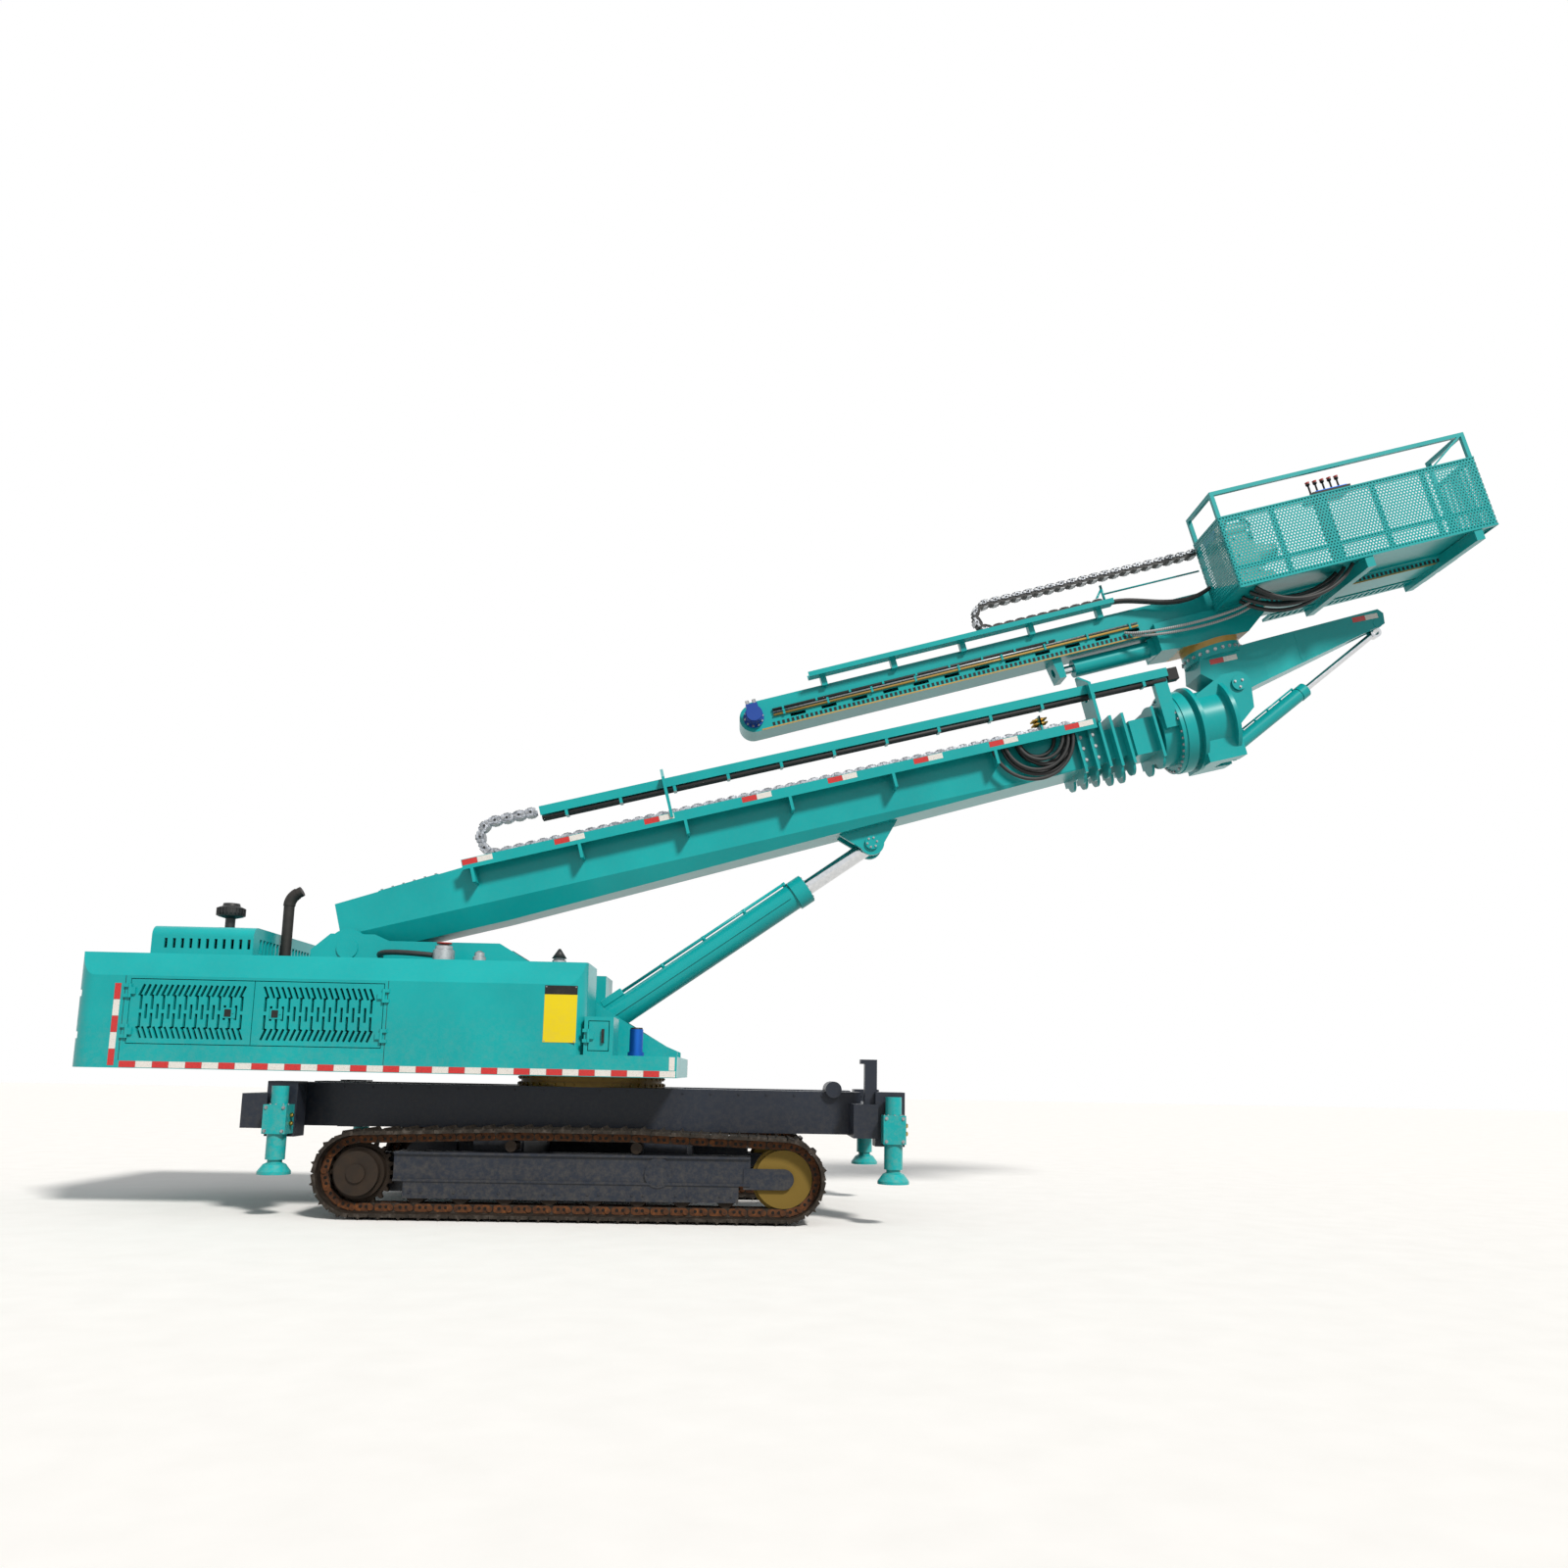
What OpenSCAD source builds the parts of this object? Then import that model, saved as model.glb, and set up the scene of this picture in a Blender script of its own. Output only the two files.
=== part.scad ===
// Anchor drilling rig: tracked undercarriage with four jacks, slewing superstructure,
// telescopic boom, rotary head, tilting arm and a drill mast with a work basket.
// +X points forwards, +Y to the machine's left and +Z up. Ground level is Z = 0 under the slew axis.

/* [Tracks] */
// Distance between the idler and sprocket axes
track_base = 3710; // [3650:10:3760]
// Radius of a track's end over the ribs of the shoes
track_r = 385; // [380:1:390]
// Width of a track shoe
shoe_w = 500; // [480:5:520]
// Number of shoes on a track
shoe_count = 56; // [54:1:58]
// Height of the rib on a shoe
rib_h = 26; // [20:1:30]
// Thickness of a shoe's plate
shoe_t = 18; // [14:1:22]
// Depth of the chain links under the shoes
link_h = 88; // [84:1:92]
// Width over the two tracks
track_out_w = 2700; // [2680:10:2760]
// Rise of the upper run over the carrier rollers
run_rise = 45; // [35:1:55]
// Distance between the carrier rollers
carrier_gap = 1100; // [1000:10:1200]
// Radius of a bottom roller
roller_r = 92; // [88:1:95]
// Number of bottom rollers on a side
roller_count = 8; // [7:1:9]
// Width of the side frame's box beam
side_beam_w = 260; // [250:2:280]

/* [Chassis] */
// Underside of the long beams
chassis_z = 760; // [750:2:770]
// Top of the long beams
chassis_top = 1150; // [1140:2:1160]
// Width over the two long beams
chassis_w = 1400; // [1350:10:1440]
// Width of one long beam
beam_w = 340; // [320:5:360]
// Distance of each pair of jacks from the slew axis, to the middle of its cross-beam and jacks
module_x = 2700; // [2680:5:2720]
// Width of a cross-beam between two jacks
cross_w = 220; // [200:5:240]
// Side of a jack's square body
jack_w = 200; // [190:2:210]
// Distance of each jack's axis from the middle plane
jack_y = 1230; // [1210:5:1250]
// Radius of a jack's leg
jack_leg_r = 62; // [55:1:68]
// Stroke of a jack
jack_stroke = 450; // [400:10:470]
// Height of a jack's foot above the ground at rest
pad_z = 365; // [350:5:380]
// Radius of the slewing ring
ring_r = 705; // [660:5:740]
// Height of the slewing ring
ring_h = 99.5; // [95:0.5:105]

/* [Superstructure] */
// Half the width of the superstructure
house_y = 1240; // [1220:5:1260]
// Rear face of the counterweight, behind the slew axis
tail_x = 4450; // [4400:10:4500]
// Seam between the counterweight and the engine housing
seam_x = 4000; // [3980:5:4020]
// Seam between the two doors
door_seam_x = 2870; // [2840:5:2900]
// Seam between the engine housing and the tank
tank_seam_x = 1680; // [1660:5:1700]
// Front face of the tank
tank_front_x = 50; // [20:5:80]
// Front face of the tool box
box_front_x = 310; // [290:5:330]
// Front edge of the deck
deck_front_x = 885; // [860:5:910]
// Thickness of the deck frame
deck_h = 190; // [180:5:200]
// Height of the eaves, where the side starts to lean inwards
eaves_z = 2060; // [2040:5:2080]
// Height of the roof
roof_z = 2270; // [2250:5:2290]
// Inward lean of the eaves
lean = 95; // [80:5:110]
// Wall and door thickness of the housings
wall = 40; // [36:1:44]
// Running gap round a door
door_gap = 7; // [6.5:0.5:9]
// Length of a louvre slot
slot_l = 130; // [110:5:150]
// Width of a louvre slot
slot_w = 22; // [18:1:26]
// Number of slots in the upper and lower row of a door
slot_count = 19; // [15:1:20]
// Height of the engine hood above the roof
hood_h = 280; // [260:5:300]
// Inside distance between the two tower plates
tower_in_w = 680; // [670:2:690]
// Thickness of a tower plate
tower_t = 60; // [50:2:70]

/* [Boom] */
// Boom foot pin, behind the slew axis
boom_foot_x = 2350; // [2330:5:2370]
// Height of the boom foot pin
boom_foot_z = 2420; // [2410:2:2430]
// Boom angle above the horizontal at rest
boom_angle = 14.5; // [14:0.1:15]
// Length of the base section in front of the foot pin
base_l = 7750; // [7700:10:7800]
// Width of the base section
base_w = 600; // [590:2:610]
// Top of the base section above the pin line
base_top = 550; // [545:1:555]
// Plate thickness of the boom
boom_t = 25; // [20:1:30]
// Width of the inner section
inner_w = 430; // [420:2:440]
// Height of the inner section
inner_h = 310; // [300:2:316]
// Travel of the inner section
boom_travel = 3500; // [3300:50:3600]
// Radius of the boom foot pin
foot_pin_r = 60; // [55:1:65]
// Radius of the luffing cylinder's barrel
luff_r = 135; // [130:1:140]
// Radius of the luffing cylinder's rod
luff_rod_r = 80; // [75:1:85]
// Length of the luffing cylinder's barrel
luff_barrel_l = 2830; // [2800:10:2860]

/* [Head and arm] */
// Radius of the rotary head
head_r = 450; // [440:2:460]
// Arm pivot in front of the base section's end, along the boom
arm_ahead = 1580; // [1570:2:1590]
// Arm pivot above the pin line
arm_z = 660; // [655:1:665]
// Radius of the arm pivot pin
arm_pin_r = 45; // [40:1:50]
// Width of the arm at its root
arm_w = 420; // [400:5:440]
// Radius of the tilt cylinder's barrel
tilt_r = 75; // [70:1:80]
// Radius of the tilt cylinder's rod
tilt_rod_r = 33; // [30:1:36]
// Length of the tilt cylinder's barrel
tilt_barrel_l = 1080; // [1060:5:1090]

/* [Mast and basket] */
// Length of the mast
mast_l = 7900; // [7850:10:7950]
// Depth of the mast beam
mast_h = 290; // [280:2:300]
// Width of the mast beam
mast_w = 360; // [350:2:370]
// Slope of the mast against the boom
mast_tilt = 1.5; // [1.3:0.1:1.7]
// Rear end of the mast behind the base section's front end
mast_back = 3540; // [3510:5:3570]
// Underside of the mast at its rear end, above the pin line
mast_rear_z = 1280; // [1275:1:1290]
// Rear end of the basket, from the rear end of the mast
basket_x = 5120; // [5100:5:5140]
// Length of the basket
basket_l = 2780; // [2740:5:2800]
// Height of the basket's side panels
panel_h = 760; // [740:5:780]
// Height of the top rail above the panels
rail_h = 280; // [260:5:300]
// Side of a square basket tube
tube_w = 40; // [36:1:46]
// Stroke of the mast in its cradle
slide_travel = 600; // [500:10:640]

/* [Hidden] */
$fn = 48;

// Running clearance between a shaft and its bore
run_gap = 0.5;
// Clearance between pieces that pass each other
pass_gap = 8;
// Clearance of a piece that lies on its seat
seat_gap = 0.3;

// Tracks: the path follows the inner face of the shoes
path_r = track_r - rib_h - shoe_t;
half_base = track_base / 2;
track_y = (track_out_w - shoe_w) / 2;
run_angle = atan(run_rise / (half_base - carrier_gap / 2));
slope_l = (run_rise + path_r * (1 - cos(run_angle))) / sin(run_angle);
flat_x = half_base + path_r * sin(run_angle) - slope_l * cos(run_angle);
run_z = track_r + path_r + run_rise;
arc_l = path_r * (180 - run_angle) * PI / 180;
path_l = 2 * (half_base + arc_l + slope_l + flat_x);
shoe_pitch = path_l / shoe_count;
belt_t = 12;
link_w = 45;
link_y = 82;
wheel_r = path_r - link_h - seat_gap;
wheel_w = 2 * link_y + link_w;
cheek_in = wheel_w / 2 + 10;
cheek_t = 26;
roller_z = track_r - path_r + link_h + seat_gap + roller_r;
side_beam_z = [roller_z + roller_r + 8, 575];
side_beam_x = [-1550, 1560];
roller_span = 2700;

// Jacks and cross-beams: places along X against the middle of their pair
jack_dx = 125;
cross_dx = -115;
cross_z = [750, 1050];
housing_z = [680, chassis_top + 10];
housing_w = 230;
jack_in_y = jack_y - jack_w / 2;
jack_barrel_z = [pad_z + 125, 710];
jack_box_z = [710, 960];
jack_top_z = jack_barrel_z[1] + jack_stroke - 40;
pad_r = 140;

// Superstructure levels and the channel in which the boom foot stands
deck_z = chassis_top + ring_h + run_gap;
deck_top = deck_z + deck_h;
channel_y = tower_in_w / 2 + tower_t;
channel_x = [-2860, -tank_seam_x];

// Boom frame: X along the boom from the foot pin, Z up from the pin line. The inner section, head, arm and
// mast are placed from the base section's front end in the same directions.
inner_z = [190, 190 + inner_h];
inner_x = [-boom_travel - 1250, 810];
head_x = [890, 1430];
head_z = 345;
luff_foot = [-230, 1540];
luff_eye = [5225, -95];
luff_eye_r = 105;
tilt_foot = [1415, 35];
tilt_eye = [3320, 930];
tilt_eye_r = 58;
cradle_x = 5050;

// A block between two corners, each pair giving the lowest and highest value
module block(x, y, z) {
    translate([x[0], y[0], z[0]]) cube([x[1] - x[0], y[1] - y[0], z[1] - z[0]]);
}

// A plate with an outline in X and Z, between two values of Y
module side_plate(y) {
    rotate([90, 0, 0]) translate([0, 0, -y[1]]) linear_extrude(y[1] - y[0]) children();
}

// A bar with a section in Y and Z, between two values of X
module along_x(x) {
    rotate([90, 0, 90]) translate([0, 0, x[0]]) linear_extrude(x[1] - x[0]) children();
}

// A round bar across the machine
module pin_y(r, y, x = 0, z = 0) {
    translate([x, y[0], z]) rotate([-90, 0, 0]) cylinder(r = r, h = y[1] - y[0]);
}

// A round bar along X
module pin_x(r, x, y = 0, z = 0) {
    translate([x[0], y, z]) rotate([0, 90, 0]) cylinder(r = r, h = x[1] - x[0]);
}

// The same piece on both sides of the middle plane
module both_sides() {
    children();
    mirror([0, 1, 0]) children();
}

// Rounded rectangle about the origin
// Point and heading on the track's path at a distance from the middle of the lower run
function on_line(x, z, heading, s) = [x + s * cos(heading), z + s * sin(heading), heading];
function on_arc(x, start, s) =
    let (a = start + s / path_r * 180 / PI)
    [x + path_r * cos(a), track_r + path_r * sin(a), a + 90];
function path_at(s) =
    let (s1 = half_base, s2 = s1 + arc_l, s3 = s2 + slope_l, s4 = s3 + 2 * flat_x,
        s5 = s4 + slope_l, s6 = s5 + arc_l)
    s < s1 ? on_line(0, track_r - path_r, 0, s)
    : s < s2 ? on_arc(half_base, -90, s - s1)
    : s < s3 ? on_line(half_base + path_r * sin(run_angle), track_r + path_r * cos(run_angle),
        180 - run_angle, s - s2)
    : s < s4 ? on_line(flat_x, run_z, 180, s - s3)
    : s < s5 ? on_line(-flat_x, run_z, 180 + run_angle, s - s4)
    : s < s6 ? on_arc(-half_base, 90 + run_angle, s - s5)
    : on_line(-half_base, track_r - path_r, 0, s - s6);

// One shoe's outline: share of the pitch along the track, height above the path
shoe_form = [[-0.49, -shoe_t / 2], [-0.47, shoe_t], [-0.09, shoe_t], [0, shoe_t + rib_h],
    [0.09, shoe_t], [0.47, shoe_t]];
shoe_points = [for (i = [0:shoe_count - 1], f = shoe_form)
    let (p = path_at((i + 0.5) * shoe_pitch), along = f[0] * shoe_pitch)
    [p[0] + along * cos(p[2]) + f[1] * sin(p[2]), p[1] + along * sin(p[2]) - f[1] * cos(p[2])]];

// The area inside the track's path, set in from it, with round or straight-sided ends
module loop_area(inset, sides = $fn, grow = 1) {
    r = path_r - inset;
    for (e = [-1, 1])
        translate([e * half_base, track_r]) circle(r * grow, $fn = sides);
    polygon([[-half_base, track_r - r], [half_base, track_r - r],
        [half_base + r * sin(run_angle), track_r + r * cos(run_angle)], [flat_x, run_z - inset],
        [-flat_x, run_z - inset], [-half_base - r * sin(run_angle), track_r + r * cos(run_angle)]]);
}

// A piece of one track, drawn with the inboard side towards +Y
module on_track(side) {
    translate([0, side * track_y, 0]) mirror([0, side > 0 ? 1 : 0, 0]) children();
}

module track(side) {
    color("dimgray") on_track(side) {
        side_plate([-shoe_w / 2, shoe_w / 2]) difference() {
            polygon(shoe_points);
            loop_area(belt_t);
        }
        for (e = [-1, 1])
            side_plate([e * link_y - link_w / 2, e * link_y + link_w / 2]) difference() {
                loop_area(belt_t / 2, 12);
                loop_area(link_h, 12, 1 / cos(15));
            }
    }
}

module track_frame(side) {
    inboard_t = 40;
    color("darkslategray") on_track(side) {
        block(side_beam_x, [-side_beam_w / 2, side_beam_w / 2], side_beam_z);
        for (z = [side_beam_z[0], side_beam_z[1] - 20])
            block(side_beam_x, [-side_beam_w / 2 - 22, -side_beam_w / 2], [z, z + 20]);
        pin_y(110, [-side_beam_w / 2 - 16, -side_beam_w / 2], 750, (side_beam_z[0] + side_beam_z[1]) / 2);
        for (e = [-1, 1]) {
            y = e > 0 ? [cheek_in, cheek_in + cheek_t] : [-cheek_in - cheek_t, -cheek_in];
            block([-roller_span / 2 - 110, roller_span / 2 + 110], y, [roller_z - 45, side_beam_z[0] + 10]);
            block([side_beam_x[1] - 60, half_base], y, [track_r - 90, track_r + 90]);
            pin_y(90, y, half_base, track_r);
        }
        for (e = [-1, 1])
            block([e * carrier_gap / 2 - 50, e * carrier_gap / 2 + 50], [cheek_in, side_beam_w / 2 + cheek_t],
                [side_beam_z[1] - 10, run_z - link_h - 20]);
        block([-half_base, side_beam_x[0] + 60], [cheek_in, cheek_in + inboard_t], [track_r - 170, track_r + 170]);
        pin_y(170, [cheek_in, cheek_in + inboard_t], -half_base, track_r);
    }
}

module track_wheels(side) {
    carrier_r = 50;
    hub_r = 45;
    teeth = 22;
    tooth = [for (i = [0:teeth - 1], f = [[-0.3, 0], [-0.12, 36], [0.12, 36], [0.3, 0]])
        let (a = (i + f[0]) * 360 / teeth) (wheel_r + f[1]) * [cos(a), sin(a)]];
    color("sienna") on_track(side) {
        for (i = [0:roller_count - 1])
            translate([(i / (roller_count - 1) - 0.5) * roller_span, 0, roller_z]) {
                pin_y(roller_r, [-wheel_w / 2, wheel_w / 2]);
                pin_y(hub_r, [-cheek_in, cheek_in]);
            }
        for (e = [-1, 1])
            pin_y(carrier_r, [-wheel_w / 2, cheek_in], e * carrier_gap / 2, run_z - link_h - seat_gap - carrier_r);
        translate([half_base, 0, track_r]) {
            pin_y(wheel_r, [-wheel_w / 2, wheel_w / 2]);
            pin_y(wheel_r + 30, [-link_y / 2, link_y / 2]);
            pin_y(hub_r, [-cheek_in, cheek_in]);
        }
        translate([-half_base, 0, track_r]) {
            side_plate([-25, 25]) polygon(tooth);
            pin_y(170, [-25, cheek_in]);
            pin_y(222, [-110, -25]);
            pin_y(190, [-185, -110]);
            pin_y(80, [-205, -185]);
        }
    }
}

module chassis_frame() {
    axle_x = 750;
    axle_w = 460;
    axle_z = [side_beam_z[0] + 20, side_beam_z[1] - 15];
    axle_y = track_y - side_beam_w / 2;
    centre_l = 1800;
    housing_l = 240;
    post_w = 110;
    post_y = -1000;
    post_top = 1450;
    roll_r = 75;
    color("darkslategray") {
        both_sides()
            block([-module_x + cross_dx, module_x + cross_dx], [chassis_w / 2 - beam_w, chassis_w / 2],
                [chassis_z, chassis_top]);
        block([-centre_l / 2, centre_l / 2], [-chassis_w / 2 + beam_w / 2, chassis_w / 2 - beam_w / 2],
            [chassis_z + 40, chassis_top]);
        for (e = [-1, 1]) {
            x = [e * axle_x - axle_w / 2, e * axle_x + axle_w / 2];
            block(x, [-axle_y, axle_y], axle_z);
            block(x, [-chassis_w / 2, chassis_w / 2], [axle_z[1] - 20, chassis_z + 60]);
        }
        for (e = [-1, 1]) translate([e * module_x, 0, 0]) {
            block([cross_dx - cross_w / 2, cross_dx + cross_w / 2], [-jack_in_y - 40, jack_in_y + 40], cross_z);
            both_sides()
                block([cross_dx + cross_w / 2 - 20, jack_dx + housing_w / 2], [jack_in_y - housing_l, jack_in_y],
                    housing_z);
        }
        translate([module_x + cross_dx, post_y, 0]) {
            block([0, post_w], [-post_w / 2, post_w / 2], [cross_z[1] - 20, post_top]);
            block([-40, 0], [-post_w / 2, post_w / 2], [post_top - 40, post_top]);
        }
        pin_y(roll_r, [-chassis_w / 2 - 60, -chassis_w / 2 + beam_w], module_x + cross_dx - 260, chassis_top + 20);
    }
}

module jack_bodies() {
    cap_r = 72;
    color("turquoise") for (e = [-1, 1]) both_sides() translate([e * module_x + jack_dx, jack_y, 0])
        difference() {
            union() {
                cylinder_between(cap_r + 10, jack_barrel_z[0], jack_barrel_z[1] + 10);
                block([-jack_w / 2, jack_w / 2], [-jack_w / 2, jack_w / 2], jack_box_z);
                cylinder_between(cap_r, jack_box_z[1] - 10, jack_top_z);
            }
            cylinder_between(jack_leg_r + run_gap, jack_barrel_z[0] - 10, jack_top_z - 15);
        }
}

// An upright cylinder between two heights
module cylinder_between(r, low, high) {
    translate([0, 0, low]) cylinder(r = r, h = high - low);
}

module jack_leg(front, side) {
    color("turquoise") translate([front * module_x + jack_dx, side * jack_y, 0]) {
        cylinder_between(jack_leg_r, pad_z + 40, jack_top_z - 20);
        translate([0, 0, pad_z]) rotate_extrude()
            polygon([[0, 0], [pad_r, 0], [pad_r, 25], [pad_r - 45, 85], [jack_leg_r, 100], [0, 100]]);
    }
}

module slew_ring() {
    color("darkgoldenrod") difference() {
        cylinder_between(ring_r, chassis_top, chassis_top + ring_h);
        cylinder_between(ring_r - 190, chassis_top - 10, chassis_top + ring_h + 10);
        translate([0, 0, chassis_top + ring_h / 2 - 10]) difference() {
            cylinder(r = ring_r + 10, h = 20);
            cylinder(r = ring_r - 22, h = 60, center = true);
        }
    }
}

// The section of the housings in Y and Z, set in by a wall
module house_section(inset, floor_z) {
    y = house_y - inset;
    polygon([[-y, floor_z], [y, floor_z], [y, eaves_z - inset / 5], [y - lean, roof_z - inset],
        [-y + lean, roof_z - inset], [-y, eaves_z - inset / 5]]);
}

wall_y = channel_y + 30;
door_z = [deck_top + 20, eaves_z - 25];
post_x = 50;
door_x = [-seam_x + post_x, -tank_seam_x - post_x];

module deck_frame() {
    pocket_h = deck_h - 40;
    color("darkturquoise") difference() {
        block([-seam_x, deck_front_x], [-house_y, house_y], [deck_z, deck_top]);
        for (x = [[-seam_x + 120, -2500], [-2420, -ring_r - 150]])
            both_sides()
                block(x, [120, house_y - 90], [deck_z - 1, deck_z + pocket_h]);
    }
}

module tower() {
    foot_boss_r = 190;
    luff_pin_r = 55;
    color("turquoise") {
        both_sides() {
            side_plate([channel_y - tower_t, channel_y]) {
                polygon([[-2700, deck_top], [-2700, 2400], [-2520, 2560], [-2100, 2560], [-1960, 2500],
                    [-900, 2500], [700, deck_top + 120], [deck_front_x - 40, deck_top + 60],
                    [deck_front_x - 40, deck_top]]);
                translate([-boom_foot_x, boom_foot_z]) circle(foot_boss_r);
            }
            pin_y(foot_pin_r + 40, [channel_y, channel_y + 20], -boom_foot_x, boom_foot_z);
            pin_y(luff_pin_r + 35, [channel_y, channel_y + 16], luff_foot[0], luff_foot[1]);
        }
        pin_y(foot_pin_r, [-channel_y, channel_y], -boom_foot_x, boom_foot_z);
        pin_y(luff_pin_r, [-channel_y, channel_y], luff_foot[0], luff_foot[1]);
        block([-2700, -2640], [-tower_in_w / 2 - 5, tower_in_w / 2 + 5], [deck_top, 2150]);
    }
}

module counterweight() {
    r = 180;
    step = 60;
    color("darkturquoise") difference() {
        intersection() {
            linear_extrude(roof_z) {
                translate([-tail_x + r, -house_y]) square([tail_x - seam_x - r, 2 * house_y]);
                translate([-tail_x, -house_y + r]) square([tail_x - seam_x, 2 * (house_y - r)]);
                for (e = [-1, 1])
                    translate([-tail_x + r, e * (house_y - r)]) circle(r);
            }
            along_x([-tail_x, -seam_x]) house_section(0, deck_z);
        }
        for (z = [deck_z + 250, deck_z + 620])
            both_sides()
                block([-tail_x - 1, -tail_x + step], [house_y - r - 120, house_y], [z, z + 60]);
    }
}

module engine_housing() {
    color("darkturquoise") {
        difference() {
            along_x([-seam_x, -tank_seam_x]) house_section(0, deck_top);
            difference() {
                along_x([-seam_x + wall, -tank_seam_x - wall]) house_section(wall, deck_top - 1);
                block([channel_x[0] - wall, 0], [-wall_y - wall, wall_y + wall], [0, roof_z + 1]);
            }
            block([channel_x[0], 0], [-wall_y, wall_y], [0, roof_z + 1]);
            for (e = [-1, 1])
                block(door_x, e > 0 ? [house_y - wall - 1, house_y + 1] : [-house_y - 1, -house_y + wall + 1], door_z);
        }
        both_sides() {
            hinge_frame(rear_hinge_x, hinge_y, 1, hinge_z);
            hinge_frame(front_hinge_x, hinge_y, -1, hinge_z);
        }
    }
}

module engine_block() {
    color("gray") {
        block([-3800, -3000], [-330, 330], [deck_top, 2000]);
        block([-3880, -3800], [-250, 250], [deck_top + 100, 1850]);
    }
}

// The slots of one door: two slanted rows and a staggered field between them
module door_slots(w, h, slant) {
    column = w * 0.82 / (slot_count - 1);
    rows = [[h - 95, slant], [95, -slant]];
    for (i = [0:slot_count - 1]) translate([(i - (slot_count - 1) / 2) * column + w / 2, 0]) {
        for (row = rows)
            translate([0, row[0]]) rotate(row[1]) square([slot_w, 110], center = true);
        for (z = i % 2 == 0 ? [-slot_l * 0.62, slot_l * 0.62] : [0])
            translate([0, h / 2 + z]) square([slot_w, slot_l], center = true);
    }
}

// A louvred door drawn on the right-hand side of the machine, hinged at one end
module door(x, slant, hinge_x) {
    w = x[1] - x[0];
    h = door_z[1] - door_z[0] - 2 * door_gap;
    color("turquoise") {
        hinge_door(hinge_x, hinge_y, sign(x[0] + w / 2 - hinge_x), hinge_z);
        side_plate([-house_y, -house_y + wall]) translate([x[0], door_z[0] + door_gap]) difference() {
            square([w, h]);
            door_slots(w, h, slant);
        }
    }
}

rear_door_x = [door_x[0] + door_gap, -door_seam_x - door_gap / 2];
front_door_x = [-door_seam_x + door_gap / 2, door_x[1] - door_gap];

// Hinges stand proud of the side, halfway across the running gap at the doors' outer edges
hinge_r = 14;
hinge_y = -house_y - hinge_r - 1;
hinge_z = [door_z[0] + 110, door_z[1] - 110];
knuckle_l = 60;
leaf_w = 50;

// A knuckle at the height z on the axis at x, with its leaf towards the sign of dir
module knuckle(x, y, dir, z) {
    translate([x, y, z[0]]) {
        cylinder(r = hinge_r, h = z[1] - z[0]);
        block(dir > 0 ? [0, leaf_w] : [-leaf_w, 0], [-hinge_r / 2, hinge_r + 2], [0, z[1] - z[0]]);
    }
}

// The middle knuckle of each hinge belongs to the door, the outer two to the frame
module hinge_door(x, y, dir, heights) {
    for (z = heights)
        knuckle(x, y, dir, [z - knuckle_l / 2, z + knuckle_l / 2]);
}
module hinge_frame(x, y, dir, heights) {
    for (z = heights, e = [-1, 1])
        knuckle(x, y, -dir, e > 0 ? [z + knuckle_l / 2 + seat_gap, z + knuckle_l]
            : [z - knuckle_l, z - knuckle_l / 2 - seat_gap]);
}
rear_hinge_x = door_x[0] + door_gap / 2;
front_hinge_x = door_x[1] - door_gap / 2;

module engine_hood() {
    x = [-seam_x + 30, -3050];
    y = 900;
    t = 20;
    r = 90;
    grille = 18;
    louvres = 11;
    color("darkturquoise") difference() {
        along_x(x) translate([0, roof_z]) hood_outline(y, hood_h, r);
        along_x([x[0] + t, x[1] - t]) translate([0, roof_z - 1]) hood_outline(y - t, hood_h - t + 1, r - t);
        for (i = [0:louvres - 1])
            translate([x[0] + 130 + i * 75, 0, roof_z + hood_h * 0.42]) cube([28, 3 * y, 90], center = true);
        for (i = [0:grille - 1])
            block([x[1] - t - 5, x[1] + 5], [(i - grille / 2) * 85 + 15, (i - grille / 2) * 85 + 70],
                [roof_z + 50, roof_z + hood_h - 100]);
    }
}

// Half-round shouldered outline of the hood, standing on the origin
module hood_outline(y, h, r) {
    translate([-y, 0]) square([2 * y, h - r]);
    translate([-y + r, 0]) square([2 * (y - r), h]);
    for (e = [-1, 1])
        translate([e * (y - r), h - r]) circle(r);
}

module pre_cleaner() {
    color("black") translate([-3480, -400, roof_z + hood_h]) rotate_extrude()
        polygon([[0, 0], [60, 0], [60, 20], [45, 30], [45, 130], [115, 150], [125, 180], [125, 230],
            [80, 250], [75, 275], [0, 285]]);
}

module exhaust() {
    pipe_r = 50;
    elbow_r = 56;
    bend_r = 140;
    rise = 560;
    tail_l = 60;
    turn = 60;
    color("black") translate([-2970, -300, roof_z]) {
        cylinder(r = pipe_r + 25, h = 30);
        cylinder(r = pipe_r, h = rise + 10);
        translate([bend_r, 0, rise]) {
            rotate([90, 0, 0]) rotate([0, 0, 180 - turn]) rotate_extrude(angle = turn)
                translate([bend_r, 0]) circle(elbow_r);
            rotate([0, turn, 0]) translate([-bend_r, 0, -10]) cylinder(r = pipe_r, h = tail_l);
        }
    }
}

// A tank on the right-hand side with a rounded front corner
module tank() {
    r = 160;
    color("darkturquoise") intersection() {
        translate([0, 0, deck_top]) linear_extrude(roof_z - deck_top) {
            translate([-tank_seam_x, -house_y]) square([tank_seam_x + tank_front_x - r, house_y - wall_y]);
            translate([-tank_seam_x, -house_y + r]) square([tank_seam_x + tank_front_x, house_y - wall_y - r]);
            translate([tank_front_x - r, -house_y + r]) circle(r);
        }
        along_x([-tank_seam_x, tank_front_x]) house_section(0, deck_top);
    }
}

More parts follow.
